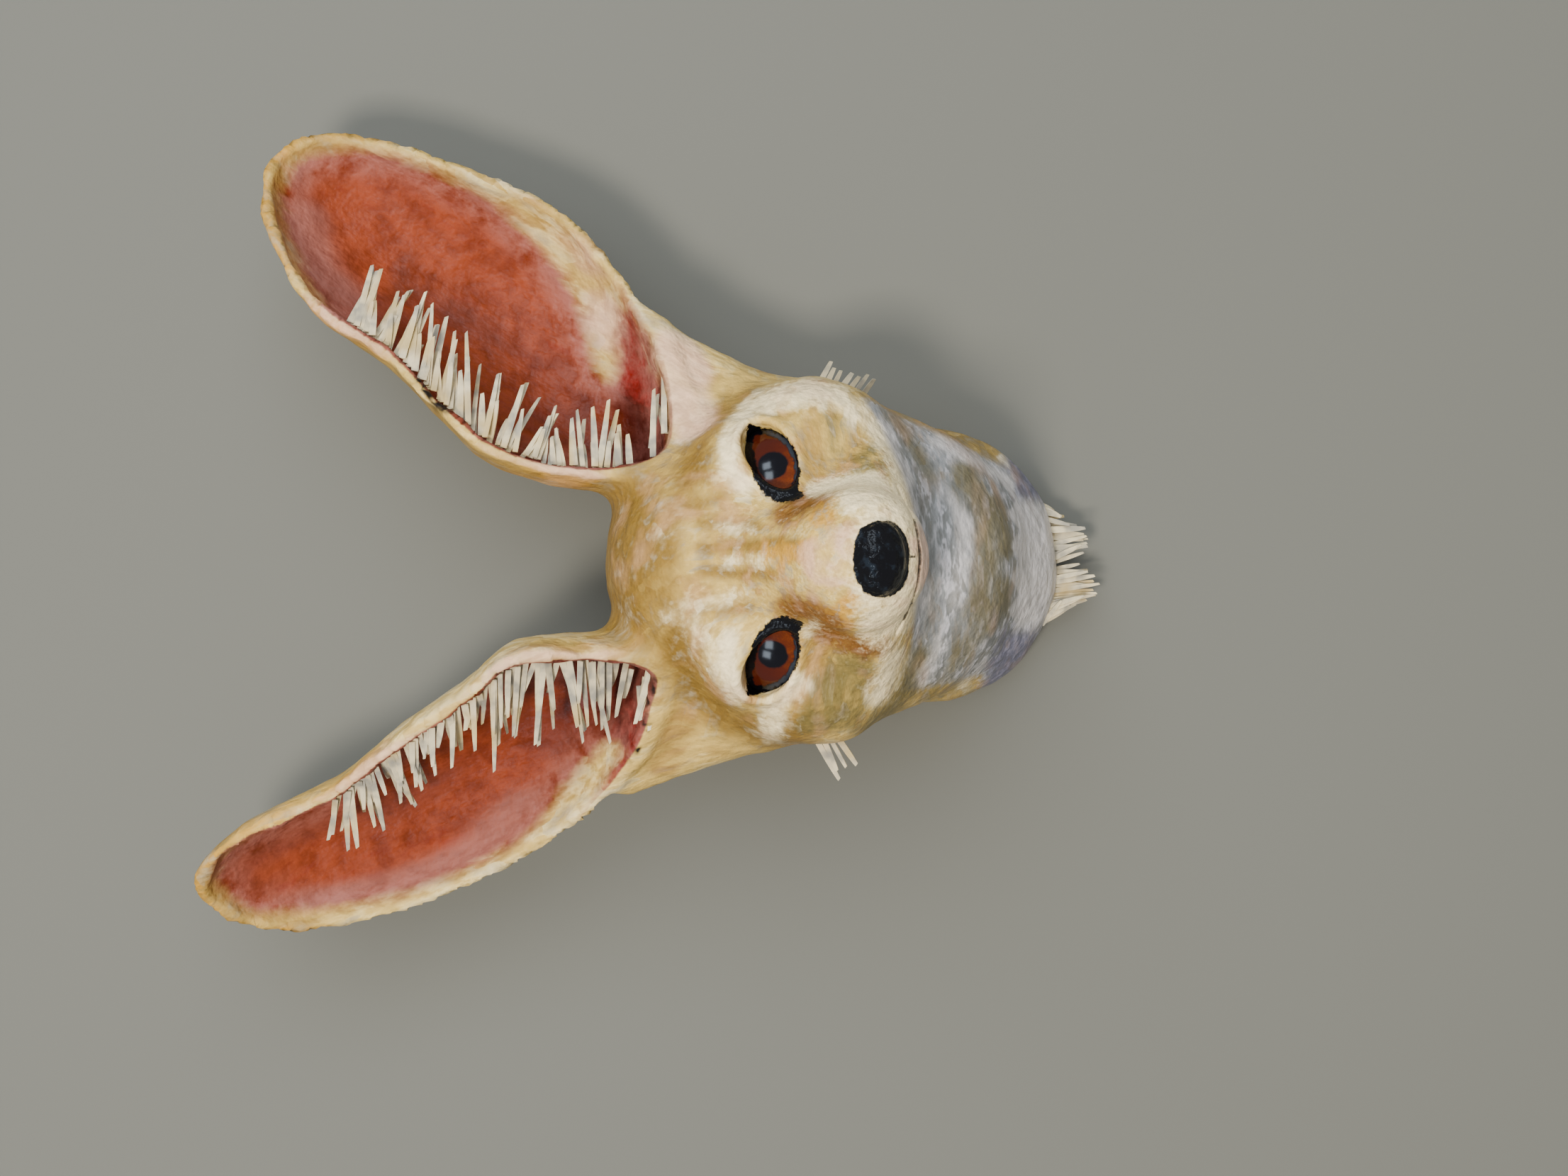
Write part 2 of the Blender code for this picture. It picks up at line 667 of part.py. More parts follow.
def make_ear_fringe(name, table, material):
    """Strips along the inner side of the rim, reaching across the hollow of the ear."""
    cup = EarCup(table)
    inner_side = cup.outline[cup.outline[:, 0] < 0.0]
    inner_side = inner_side[np.argsort(inner_side[:, 1])]
    strips = []
    for index in range(table["strips"]):
        share = index / (table["strips"] - 1)
        up = table["strips_from"] + (table["strips_to"] - table["strips_from"]) * share
        below, rim, above = np.interp((up - 2.0, up, up + 2.0), inner_side[:, 1], inner_side[:, 0])
        tangent = unit((above - below, 4.0))
        inward = np.array((tangent[1], -tangent[0]))
        edge = np.array((rim, up)) + inward * STRIP_CLEARANCE
        root = edge + inward * BAND_WIDTH
        length = along_table(table["strip_lengths"], share) * (1.0 + STRIP_UNEVEN * np.sin(index * 2.4))
        tip = edge + unit((1.0, along_table(table["strip_lift"], share))) * length
        curl = FRINGE_CURL if index % 2 else -FRINGE_CURL
        strips.append({
            "base": cup.world(*edge, FRINGE_INSET),
            "root": cup.world(*root, FRINGE_INSET),
            "middle": cup.world(*(root * 0.5 + tip * 0.5), FRINGE_INSET + curl * 0.6),
            "tip": cup.world(*tip, FRINGE_INSET + 1.0 + curl),
            "along": cup.across * tangent[0] + cup.up * tangent[1],
            "normal": cup.back,
        })
    return make_comb(name, strips, material)


def make_cheek_tuft(name, side, tuft, grid, material):
    """Short bunch of strips that stands out from one cheek."""
    strips = []
    for index in range(tuft["strips"]):
        share = index / (tuft["strips"] - 1)
        height = tuft["top"] + (tuft["bottom"] - tuft["top"]) * share
        start = (side * 75.0, tuft["depth"], height)
        base = grid.approach(start, (-side, 0.0, 0.0), STRIP_CLEARANCE)
        root = base + np.array((side * BAND_WIDTH * 0.6, 0.0, 0.0))
        reach = along_table(tuft["reach"], share)
        tip = root + np.array((side * reach, -1.0 + 2.0 * (index % 2), -tuft["drop"]))
        strips.append({
            "base": base,
            "root": root,
            "middle": root * 0.5 + tip * 0.5 + np.array((0.0, 0.0, 0.4)),
            "tip": tip,
            "along": (0.0, 0.0, -1.0),
            "normal": (0.0, 1.0, 0.0),
        })
    return make_comb(name, strips, material)


def make_throat_fringe(name, grid, material):
    """Two fans of strips under the neck, on one band."""
    strips = []
    for fan in THROAT_FANS:
        for index in range(fan["strips"]):
            share = index / (fan["strips"] - 1)
            across = fan["from"] + (fan["to"] - fan["from"]) * share
            base = grid.approach((across, THROAT_DEPTH, -98.0), (0.0, 0.0, 1.0), STRIP_CLEARANCE)
            root = base + np.array((0.0, 0.0, -BAND_WIDTH))
            length = along_table(fan["lengths"], share) * (1.0 + STRIP_UNEVEN * np.sin(index * 2.4))
            lean = along_table(fan["lean"], share)
            tip = root + np.array((lean, -4.0 + 1.6 * (index % 2), -length))
            strips.append({
                "base": base,
                "root": root,
                "middle": root * 0.5 + tip * 0.5 + np.array((0.0, 1.0, 0.0)),
                "tip": tip,
                "along": (1.0, 0.0, 0.0),
                "normal": (0.0, 1.0, 0.0),
            })
    return make_comb(name, strips, material)


def make_head(grid, material):
    """Polygonise the skin, thin the mesh out, cut the back, the sockets and the mouth."""
    values = close_pinches(np.maximum(grid.values, grid.beyond_wall))
    points, faces = surface_net(values, grid.low, grid.step)
    head = make_object("head", points, faces, material)
    thinner = head.modifiers.new("thinner", "DECIMATE")
    thinner.ratio = HEAD_TRIANGLES / (2.0 * len(faces))
    bake_modifiers(head)
    flatten_back(head)
    for side in (1.0, -1.0):
        cut_socket(head, side, material)
    cut_mouth(head, grid, material)
    face_outward(head)
    return head


def main():
    for thing in list(bpy.data.objects):
        bpy.data.objects.remove(thing)
    paper = make_material("painted_paper", (0.53, 0.38, 0.18), 0.6)
    glass = make_material("eye_gloss", (0.10, 0.02, 0.01), 0.08)
    cut_paper = make_material("cut_paper", (0.66, 0.60, 0.50), 0.8)
    grid = SkinGrid(GRID_STEP)
    make_head(grid, paper)
    make_eye("eye_left", 1.0, glass)
    make_eye("eye_right", -1.0, glass)
    make_ear_fringe("ear_fringe_left", LEFT_EAR, cut_paper)
    make_ear_fringe("ear_fringe_right", RIGHT_EAR, cut_paper)
    make_cheek_tuft("cheek_tuft_left", 1.0, LEFT_TUFT, grid, cut_paper)
    make_cheek_tuft("cheek_tuft_right", -1.0, RIGHT_TUFT, grid, cut_paper)
    make_throat_fringe("throat_fringe", grid, cut_paper)


main()
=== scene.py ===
"""Fennec fox wall sculpture: the fine paper skin, its paint, the eyes, the cut paper strips.

Every length in the classes is in millimetres, in the model's own frame: the face looks along
-Y, the ears rise along +Z, the flat back lies on the wall plane y = 0. Left and right are the
fox's own, so left is +X. Meshes are made in metres.
"""

import logging
from dataclasses import dataclass, field
from enum import Enum
from typing import Callable, Optional, Sequence

import bmesh
import bpy
import numpy as np
from mathutils import Matrix, Vector, noise


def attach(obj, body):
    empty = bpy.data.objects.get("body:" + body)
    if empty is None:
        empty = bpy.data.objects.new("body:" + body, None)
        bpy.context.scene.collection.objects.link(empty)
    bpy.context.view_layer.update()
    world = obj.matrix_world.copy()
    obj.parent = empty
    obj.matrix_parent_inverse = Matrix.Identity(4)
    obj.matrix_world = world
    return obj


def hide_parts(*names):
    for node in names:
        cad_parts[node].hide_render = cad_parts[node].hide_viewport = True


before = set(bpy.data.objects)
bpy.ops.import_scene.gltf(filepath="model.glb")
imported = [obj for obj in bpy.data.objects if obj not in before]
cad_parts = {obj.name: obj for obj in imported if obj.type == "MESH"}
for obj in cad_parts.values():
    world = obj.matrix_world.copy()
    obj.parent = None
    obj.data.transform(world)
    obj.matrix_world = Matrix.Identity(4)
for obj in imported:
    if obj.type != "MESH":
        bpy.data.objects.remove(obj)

LOG = logging.getLogger("fox")
MM = 0.001
BODY = "root"
VIEWPOINT = (-7.8, -708.0, 0.0)

Points = np.ndarray
Numbers = np.ndarray


def unit(vector: Sequence[float]) -> Points:
    """Return the vector with length one."""
    vector = np.asarray(vector, dtype=float)
    return vector / np.linalg.norm(vector)


def smooth_union(a: Numbers, b: Numbers, radius: float) -> Numbers:
    """Join two forms given as distances, with a fillet.

    Args:
        a: Distances to the first form.
        b: Distances to the second form.
        radius: Reach of the fillet.

    Returns:
        Distances to the joined form.
    """
    blend = np.maximum(radius - np.abs(a - b), 0.0) / radius
    return np.minimum(a, b) - blend * blend * radius * 0.25


def smooth_cut(a: Numbers, b: Numbers, radius: float) -> Numbers:
    """Take the form b out of the form a, with a rounded edge.

    Args:
        a: Distances to the form that is cut.
        b: Distances to the form that is taken out.
        radius: Reach of the rounding.

    Returns:
        Distances to what is left.
    """
    return -smooth_union(-a, b, radius)


def ramp(values: Numbers, start: float, end: float) -> Numbers:
    """Smooth step from 0 at start to 1 at end, which may lie below start."""
    share = np.clip((values - start) / (end - start), 0.0, 1.0)
    return share * share * (3.0 - 2.0 * share)


def smooth_loop(points: Sequence[Sequence[float]], steps: int = 5) -> Points:
    """Closed curve that passes smoothly through every point.

    Args:
        points: Corners in order, as (across, up).
        steps: Points on the curve for each corner.

    Returns:
        The curve's points.
    """
    corners = np.asarray(points, dtype=float)
    before = np.roll(corners, 1, axis=0)
    ahead = np.roll(corners, -1, axis=0)
    beyond = np.roll(corners, -2, axis=0)
    bend = 2 * before - 5 * corners + 4 * ahead - beyond
    twist = 3 * corners - before - 3 * ahead + beyond
    curve = []
    for share in np.arange(steps) / steps:
        curve.append(corners + 0.5 * share * (ahead - before + share * (bend + share * twist)))
    return np.stack(curve, axis=1).reshape(-1, 2)


def loop_distance(px: Numbers, py: Numbers, outline: Points) -> Numbers:
    """Signed distance from flat points to a closed outline.

    Args:
        px: First coordinates.
        py: Second coordinates.
        outline: Corners of the outline.

    Returns:
        Distances, negative inside.
    """
    nearest = np.full(px.shape, 1e9)
    inside = np.zeros(px.shape, dtype=bool)
    for (ax, ay), (bx, by) in zip(outline, np.roll(outline, -1, axis=0)):
        ex, ey = bx - ax, by - ay
        along = np.clip(((px - ax) * ex + (py - ay) * ey) / (ex * ex + ey * ey + 1e-12), 0.0, 1.0)
        away = (px - ax - along * ex) ** 2 + (py - ay - along * ey) ** 2
        nearest = np.minimum(nearest, away)
        crosses = (ay > py) != (by > py)
        inside ^= crosses & (px < (bx - ax) * (py - ay) / (by - ay + 1e-12) + ax)
    nearest = np.sqrt(nearest)
    return np.where(inside, -nearest, nearest)


def path_distance(flat: Points, path: Points) -> Numbers:
    """Distance from points to an open line through the path's points, in 2 or 3 dimensions."""
    nearest = np.full(len(flat), 1e9)
    if len(path) == 1:
        return np.linalg.norm(flat - path[0], axis=1)
    for start, end in zip(path[:-1], path[1:]):
        axis = end - start
        along = np.clip((flat - start) @ axis / float(axis @ axis + 1e-12), 0.0, 1.0)
        nearest = np.minimum(nearest, np.linalg.norm(flat - start - along[:, None] * axis, axis=1))
    return nearest


def lumps(points: Points, size: float, shift: float = 0.0) -> Numbers:
    """Smooth noise from about -1 to 1.

    Args:
        points: Where to read it.
        size: Size of a lump.
        shift: Moves the pattern, so that two readings differ.

    Returns:
        One value a point.
    """
    scaled = points / size + shift
    return np.array([noise.noise(Vector(place)) for place in scaled])


def shown_flat(eye: Points, local: Points) -> Points:
    """Where points show in the plane whose third coordinate is 0.

    Args:
        eye: The viewpoint, in the plane's own axes.
        local: The points, in the same axes.

    Returns:
        Places in the plane.
    """
    share = eye[2] / (eye[2] - local[:, 2:])
    return (eye + (local - eye) * share)[:, :2]


@dataclass(frozen=True)
class Ball:
    """Ellipsoid that is blended into the forms before it."""

    centre: tuple[float, float, float]
    radii: tuple[float, float, float]
    blend: float
    paired: bool = False

    def distance(self, points: Points, side: float = 1.0) -> Numbers:
        """Distances to the ellipsoid, mirrored where side is -1."""
        local = points - np.array(self.centre) * (side, 1.0, 1.0)
        radii = np.array(self.radii)
        near = np.sqrt(((local / radii) ** 2).sum(axis=1)) + 1e-6
        slope = np.sqrt(((local / radii**2) ** 2).sum(axis=1)) + 1e-6
        return near * (near - 1.0) / slope


@dataclass(frozen=True)
class RoundCone:
    """Cone with round ends that is blended into the forms before it."""

    start: tuple[float, float, float]
    end: tuple[float, float, float]
    start_radius: float
    end_radius: float
    blend: float
    paired: bool = False

    def distance(self, points: Points, side: float = 1.0) -> Numbers:
        """Distances to the cone, mirrored where side is -1."""
        start = np.array(self.start) * (side, 1.0, 1.0)
        axis = np.array(self.end) * (side, 1.0, 1.0) - start
        away = points - start
        along = np.clip(away @ axis / float(axis @ axis), 0.0, 1.0)
        radius = self.start_radius + (self.end_radius - self.start_radius) * along
        return np.linalg.norm(away - along[:, None] * axis, axis=1) - radius


@dataclass(frozen=True)
class Cluster:
    """Some paper strips of one ear that lie together.

    low and high bound their roots along the rim; reach is how far the tips go across the
    hollow and lift how far they rise.
    """

    low: float
    high: float
    count: int
    reach: float
    lift: float


@dataclass
class Ear:
    """Cupped ear: an outline in the plane of its opening and a rounded depth behind it."""

    name: str
    origin: tuple[float, float, float]
    back: tuple[float, float, float]
    up: tuple[float, float, float]
    outline: tuple[tuple[float, float], ...]
    half_width: float
    depths: tuple[tuple[float, float], ...]
    red_outline: tuple[tuple[float, float], ...]
    pocket: tuple[tuple[float, float], ...]
    streaks: tuple[tuple[tuple[float, float], ...], ...]
    # Paths of painted shade along the creases and splits, which the skin does not cut.
    creases: tuple[tuple[tuple[float, float], ...], ...]
    clusters: tuple[Cluster, ...]
    cell: float = 1.0
    margin: float = 60.0

    def __post_init__(self) -> None:
        """Work out the axes and the flat distances to the outline."""
        self.place = np.array(self.origin)
        self.back_way = unit(self.back)
        side = np.sign(self.place[0])
        self.across_way = -side * unit(np.cross(self.up, self.back_way))
        self.up_way = -side * np.cross(self.back_way, self.across_way)
        self.curve = smooth_loop(self.outline)
        self.low = self.curve.min(axis=0) - self.margin
        high = self.curve.max(axis=0) + self.margin
        counts = np.ceil((high - self.low) / self.cell).astype(int) + 1
        lines = [self.low[axis] + self.cell * np.arange(counts[axis]) for axis in range(2)]
        self.raster = loop_distance(*np.meshgrid(*lines, indexing="ij"), self.curve)

    def local(self, points: Points) -> Points:
        """Points in the ear's own axes: across, up and back."""
        return (points - self.place) @ np.stack([self.across_way, self.up_way, self.back_way]).T

    def world(self, across: float, up: float, back: float) -> Points:
        """A point given in the ear's own axes, in the model's frame."""
        return self.place + self.across_way * across + self.up_way * up + self.back_way * back

    def flat_distance(self, local: Points) -> Numbers:
        """Distances to the rim's outline, read between the raster's points."""
        rows, columns = self.raster.shape
        spot = (local[:, :2] - self.low) / self.cell
        spot = np.clip(spot, 0.0, (rows - 1.001, columns - 1.001))
        cell = spot.astype(np.int32)
        fx, fy = (spot - cell).T
        ix, iy = cell.T
        below = self.raster[ix, iy] * (1 - fx) + self.raster[ix + 1, iy] * fx
        above = self.raster[ix, iy + 1] * (1 - fx) + self.raster[ix + 1, iy + 1] * fx
        return below * (1 - fy) + above * fy

    def seen(self, local: Points) -> Points:
        """Where points in the hollow show in the plane of the opening, from the viewpoint."""
        eye = self.local(np.array([VIEWPOINT]))[0]
        return shown_flat(eye, np.concatenate([local[:, :2], np.maximum(local[:, 2:], 0.0)], axis=1))

    def hollow(self, local: Points) -> Numbers:
        """Distances to the hollow, which also reaches forward out of the opening."""
        flat = self.flat_distance(local)
        table = np.array(self.depths)
        depth = np.interp(local[:, 1], table[:, 0], table[:, 1])
        inset = np.maximum(1.0 + flat / self.half_width, 0.0)
        deep = np.maximum(local[:, 2], 0.0) / depth
        size = (inset**2.1 + deep**2.1) ** (1 / 2.1) + 1e-6
        slope = np.hypot((inset / size) ** 1.1 / self.half_width, (deep / size) ** 1.1 / depth)
        near = (size - 1.0) / np.maximum(slope, 0.35 / self.half_width)
        return np.where(local[:, 2] < 0.0, flat, near)


@dataclass
class Eye:
    """Glossy almond-shaped dome in its socket, and the lids round it."""

    side: float
    centre: tuple[float, float, float] = (27.3, -103.8, 3.1)
    look: tuple[float, float, float] = (0.42, -0.89, 0.18)
    long: float = 24.0
    high: float = 14.0
    tilt_degrees: float = 25.0
    ball_radius: float = 22.0
    bulge: float = 2.2
    thickness: float = 5.2
    socket_gap: float = 0.1
    socket_depth: float = 3.6
    lid_height: float = 0.75
    lid_reach: float = 1.6
    segments: int = 96
    rings: int = 14
    pupil: tuple[float, float] = (-1.0, 0.5)
    opening: tuple[tuple[float, float], ...] = (
        (9.8, 1.2), (6.6, 3.0), (1.8, 4.3), (-3.3, 5.2), (-7.9, 4.7), (-10.9, 3.0), (-11.0, 0.3),
        (-9.0, -2.0), (-5.4, -4.3), (-1.1, -5.3), (3.2, -5.1), (6.8, -3.6), (9.2, -1.1),
    )
    lashes: tuple[tuple[float, float], ...] = (
        (14.2, 1.2), (8.6, 4.2), (2.4, 6.1), (-3.2, 6.9), (-8.2, 6.2), (-12.0, 4.5), (-13.8, 1.5),
        (-14.3, -2.8), (-11.0, -3.0), (-7.0, -5.3), (-2.0, -6.8), (3.0, -6.9), (7.2, -5.5), (10.8, -2.6),
    )

    def __post_init__(self) -> None:
        """Work out the eye's axes."""
        self.look_way = unit((self.look[0] * self.side, self.look[1], self.look[2]))
        level = unit(np.cross((0.0, 0.0, 1.0), self.look_way))
        across = level * self.side
        up = np.cross(self.look_way, level)
        tilt = np.radians(self.tilt_degrees)
        self.long_way = across * np.cos(tilt) + up * np.sin(tilt)
        self.high_way = up * np.cos(tilt) - across * np.sin(tilt)
        self.place = np.array((self.centre[0] * self.side, self.centre[1], self.centre[2]))

    @property
    def name(self) -> str:
        """The eye's CAD node."""
        return "eye_left" if self.side > 0 else "eye_right"

    def almond(self, grow: float, segments: int) -> Points:
        """Outline of the eye in its own plane, with its pointed inner corner.

        Args:
            grow: How far outside the eye's own edge it runs.
            segments: Number of corners.

        Returns:
            Corners as (along, high).
        """
        turn = 2.0 * np.pi * np.arange(segments) / segments
        along = np.cos(turn)
        narrow = 1.0 - 0.20 * (1.0 - along) * 0.5 - 0.10 * along * along
        half_long = self.long / 2.0 + grow
        half_high = self.high / 2.0 + grow
        return np.stack([half_long * along, half_high * np.sin(turn) * narrow], axis=1)

    def local(self, points: Points) -> Points:
        """Points in the eye's own axes: along, high and out."""
        return (points - self.place) @ np.stack([self.long_way, self.high_way, self.look_way]).T

    def edge(self, local: Points) -> Numbers:
        """Flat distances to the eye's outline, large away from the eye."""
        flat = np.full(len(local), 30.0)
        near = (np.abs(local[:, 0]) < 26.0) & (np.abs(local[:, 1]) < 22.0) & (np.abs(local[:, 2]) < 26.0)
        flat[near] = loop_distance(local[near, 0], local[near, 1], self.almond(0.0, 48))
        return flat

    def lash_edge(self, local: Points) -> Numbers:
        """Flat distances to the edge of the black paint round the eye."""
        flat = np.full(len(local), 30.0)
        near = (np.abs(local[:, 0]) < 26.0) & (np.abs(local[:, 1]) < 22.0) & (np.abs(local[:, 2]) < 16.0)
        shown = shown_flat(self.local(np.array([VIEWPOINT]))[0], local[near])
        flat[near] = loop_distance(*shown.T, smooth_loop(self.lashes))
        return flat

    def carve(self, skin: Numbers, points: Points) -> Numbers:
        """Raise the lids and sink the socket in the skin."""
        local = self.local(points)
        flat = self.edge(local)
        upper = 1.0 + 0.5 * ramp(local[:, 1], -2.0, 4.0)
        ridge = np.exp(-(((flat - self.lid_reach) / self.lid_reach) ** 2)) * ramp(local[:, 2], -9.0, -3.0)
        skin = skin - self.lid_height * upper * ridge
        socket = np.maximum(flat - self.socket_gap, -(local[:, 2] + self.socket_depth))
        return smooth_cut(skin, np.maximum(socket, local[:, 2] - 14.0), 0.7)

    def build(self, material: bpy.types.Material) -> bpy.types.Object:
        """Make the dome, closed at the back.

        Args:
            material: The eye's finish.

        Returns:
            The eye.
        """
        shares = np.sin(0.5 * np.pi * np.arange(1, self.rings + 1) / self.rings)
        outline = self.almond(0.25, self.segments)
        flat = [np.zeros((1, 2))] + [outline * share for share in shares] + [outline, np.zeros((1, 2))]
        heights = []
        for ring in flat[:-2]:
            off = np.hypot(ring[:, 0], ring[:, 1])
            heights.append(np.sqrt(self.ball_radius**2 - off**2) - self.ball_radius + self.bulge)
        floor = self.bulge - self.thickness
        heights += [np.full(self.segments, floor), np.array([floor])]
        flat_points = np.concatenate(flat)
        height = np.concatenate(heights)
        points = (
            self.place
            + flat_points[:, :1] * self.long_way
            + flat_points[:, 1:] * self.high_way
            + height[:, None] * self.look_way
        )
        faces: list[list[int]] = []
        count = self.segments
        last = len(points) - 1
        for index in range(count):
            ahead = (index + 1) % count
            faces.append([0, 1 + index, 1 + ahead])
            for ring in range(self.rings):
                low = 1 + ring * count
                faces.append([low + index, low + count + index, low + count + ahead, low + ahead])
            faces.append([last, last - count + ahead, last - count + index])
        eye = make_object(self.name + "_dome", points, faces, [material])
        face_outward(eye)
        local = np.column_stack([flat_points, height])
        shown = shown_flat(self.local(np.array([VIEWPOINT]))[0], local)
        add_vectors(eye, "iris_place", np.column_stack([shown - self.pupil, height]) * MM)
        edge = loop_distance(*shown.T, smooth_loop(self.opening))
        add_vectors(eye, "rim_place", np.column_stack([edge, shown]) * MM)
        eye.data.shade_smooth()
        return eye


class Tone(Enum):
    """Paints of the skin: the attribute that holds each one's mask, and its place in it."""

    OCHRE = ("warm_tones", 0)
    RUST = ("warm_tones", 1)
    YELLOW = ("warm_tones", 2)
    WHITE = ("pale_tones", 0)
    PINK = ("pale_tones", 1)
    TAN = ("pale_tones", 2)
    OLIVE = ("dark_tones", 0)
    SLATE = ("dark_tones", 1)
    VIOLET = ("dark_tones", 2)
    NECK = ("ground_tones", 0)
    CRIMSON = ("ground_tones", 1)
    # Painted shade along the creases and splits of the ears.
    CREASE = ("ground_tones", 2)


@dataclass(frozen=True)
class Dab:
    """Stroke of one paint on the face or neck, along points (x, z) seen from the front."""

    tone: Tone
    path: tuple[tuple[float, float], ...]
    width: float
    strength: float = 1.0


FACE_DABS = (
    Dab(Tone.OCHRE, ((-25, 30), (-36, 25), (-46, 16), (-50, 5), (-51, -3)), 10.0, 1.0),
    Dab(Tone.OCHRE, ((26, 25), (34, 23), (42, 19), (48, 10)), 8.0, 0.8),
    Dab(Tone.OCHRE, ((-24, 29), (-8, 33), (8, 31), (26, 25)), 8.0, 0.7),
    Dab(Tone.OCHRE, ((-14, 49), (-3, 45), (6, 43), (13, 47)), 16.0, 1.0),
    Dab(Tone.OCHRE, ((-3, 22), (-4, 4)), 4.0, 0.85),
    Dab(Tone.OCHRE, ((3, 22), (4, 0), (2, -6)), 3.6, 0.95),
    Dab(Tone.OCHRE, ((10, 22), (9, 8)), 3.8, 0.85),
    Dab(Tone.OCHRE, ((-14, 24), (-13, 10)), 4.2, 0.75),
    Dab(Tone.OCHRE, ((15, 24), (17, 17)), 3.6, 0.7),
    Dab(Tone.YELLOW, ((1, 3), (2, -5)), 6.0, 0.8),
    Dab(Tone.TAN, ((-44, -4), (-33, -9), (-24, -10)), 8.0, 0.95),
    Dab(Tone.TAN, ((23, -9), (36, -8)), 6.5, 0.8),
    Dab(Tone.TAN, ((24, -17), (34, -22)), 6.0, 0.7),
    Dab(Tone.YELLOW, ((-16, -13), (-12, -18)), 6.5, 1.0),
    Dab(Tone.YELLOW, ((10, -8), (17, -13), (17, -17)), 6.5, 1.0),
    Dab(Tone.WHITE, ((-37, 13), (-30, 16), (-21, 15)), 4.6, 0.95),
    Dab(Tone.WHITE, ((-28, 20), (-18, 24)), 7.0, 0.45),
    Dab(Tone.WHITE, ((20, 11), (25, 15), (34, 15), (43, 10)), 4.8, 0.95),
    Dab(Tone.WHITE, ((-48, 4), (-41, 2), (-34, -3)), 6.0, 0.85),
    Dab(Tone.WHITE, ((45, 5), (48, -6), (46, -15)), 7.0, 0.9),
    Dab(Tone.WHITE, ((42, -21), (35, -27)), 6.0, 0.9),
    Dab(Tone.WHITE, ((35, -29), (28, -31), (22, -33)), 5.5, 1.0),
    Dab(Tone.WHITE, ((19, -8), (21, -17), (22, -25)), 3.8, 1.0),
    Dab(Tone.WHITE, ((-18, -25), (-16, -31), (-10, -36)), 7.5, 1.0),
    Dab(Tone.WHITE, ((16, -18), (18, -25), (14, -33)), 7.0, 1.0),
    Dab(Tone.WHITE, ((-20, -6), (-18, -8)), 3.0, 0.5),
    Dab(Tone.WHITE, ((-37, -27), (-27, -31)), 6.5, 0.9),
    Dab(Tone.WHITE, ((-11, 20), (-10, 12)), 4.0, 0.5),
    Dab(Tone.WHITE, ((0, 16), (-1, 6)), 3.4, 0.45),
    Dab(Tone.WHITE, ((9, 18), (8, 9)), 3.0, 0.45),
    Dab(Tone.WHITE, ((-16, 33), (-12, 26)), 4.6, 0.35),
    Dab(Tone.WHITE, ((8, 34), (9, 26)), 4.2, 0.25),
    # Rust paint at the inner eye corners; where it runs down the fold between muzzle and cheek it is also
    # painted shade.
    Dab(Tone.RUST, ((-13, -1), (-14, -7), (-18, -11)), 6.5, 1.0),
    Dab(Tone.RUST, ((-18, -11), (-22, -16), (-24, -22), (-24, -28)), 5.4, 1.0),
    Dab(Tone.RUST, ((12, 0), (15, -5), (18, -9)), 6.0, 1.0),
    Dab(Tone.RUST, ((18, -9), (19, -15), (20, -22)), 2.6, 0.8),
    Dab(Tone.OLIVE, ((-46, -7), (-36, -11), (-29, -15)), 5.6, 1.0),
    Dab(Tone.OLIVE, ((-46, -13), (-35, -16), (-26, -20)), 5.4, 1.0),
    Dab(Tone.OLIVE, ((-45, -19), (-30, -23)), 5.2, 0.95),
    Dab(Tone.OLIVE, ((24, -20), (26, -27)), 3.0, 0.95),
    Dab(Tone.OLIVE, ((28, -20), (31, -25)), 2.8, 0.9),
    Dab(Tone.OLIVE, ((31, -14), (40, -13)), 5.0, 0.65),
    Dab(Tone.OLIVE, ((-50, -25), (-40, -33), (-28, -39)), 7.0, 1.0),
    Dab(Tone.OLIVE, ((24, -42), (32, -38), (42, -31)), 5.0, 0.7),
    Dab(Tone.OLIVE, ((-38, -45), (-28, -52)), 6.0, 0.65),
    Dab(Tone.OLIVE, ((-25, -53), (-17, -62)), 5.5, 0.7),
    Dab(Tone.OLIVE, ((-15, -57), (0, -60), (14, -58), (26, -53)), 8.5, 0.85),
    Dab(Tone.OLIVE, ((-14, -66), (-7, -65)), 5.0, 1.0),
    Dab(Tone.OLIVE, ((4, -66), (16, -63)), 5.0, 1.0),
    Dab(Tone.SLATE, ((-27, -41), (-10, -41.5), (10, -41), (24, -38)), 6.0, 0.6),
    Dab(Tone.SLATE, ((-26, -49), (-12, -51)), 4.5, 0.7),
    Dab(Tone.SLATE, ((8, -50), (22, -49)), 4.5, 0.7),
    Dab(Tone.WHITE, ((-34, -41), (-24, -45)), 4.0, 0.5),
    Dab(Tone.WHITE, ((-12, -49), (0, -51), (12, -52)), 4.5, 0.6),
    Dab(Tone.WHITE, ((25, -69), (30, -59), (35, -45)), 4.2, 0.85),
    Dab(Tone.WHITE, ((-38, -56), (-28, -60)), 4.5, 0.5),
    Dab(Tone.WHITE, ((10, -52), (20, -46)), 3.6, 0.5),
)
JAW = (
    (-52.0, -25.0), (-44.0, -30.0), (-36.0, -34.5), (-22.0, -36.0), (0.0, -36.2), (15.0, -35.0),
    (24.0, -32.5), (38.0, -27.0), (50.0, -20.0),
)
LEFT_FLAP = ((40.0, -84.0, 27.0), (64.0, -68.0, 30.0))
RIGHT_FLAP = ((-48.0, -74.0, 30.0), (-60.0, -62.0, 36.0))


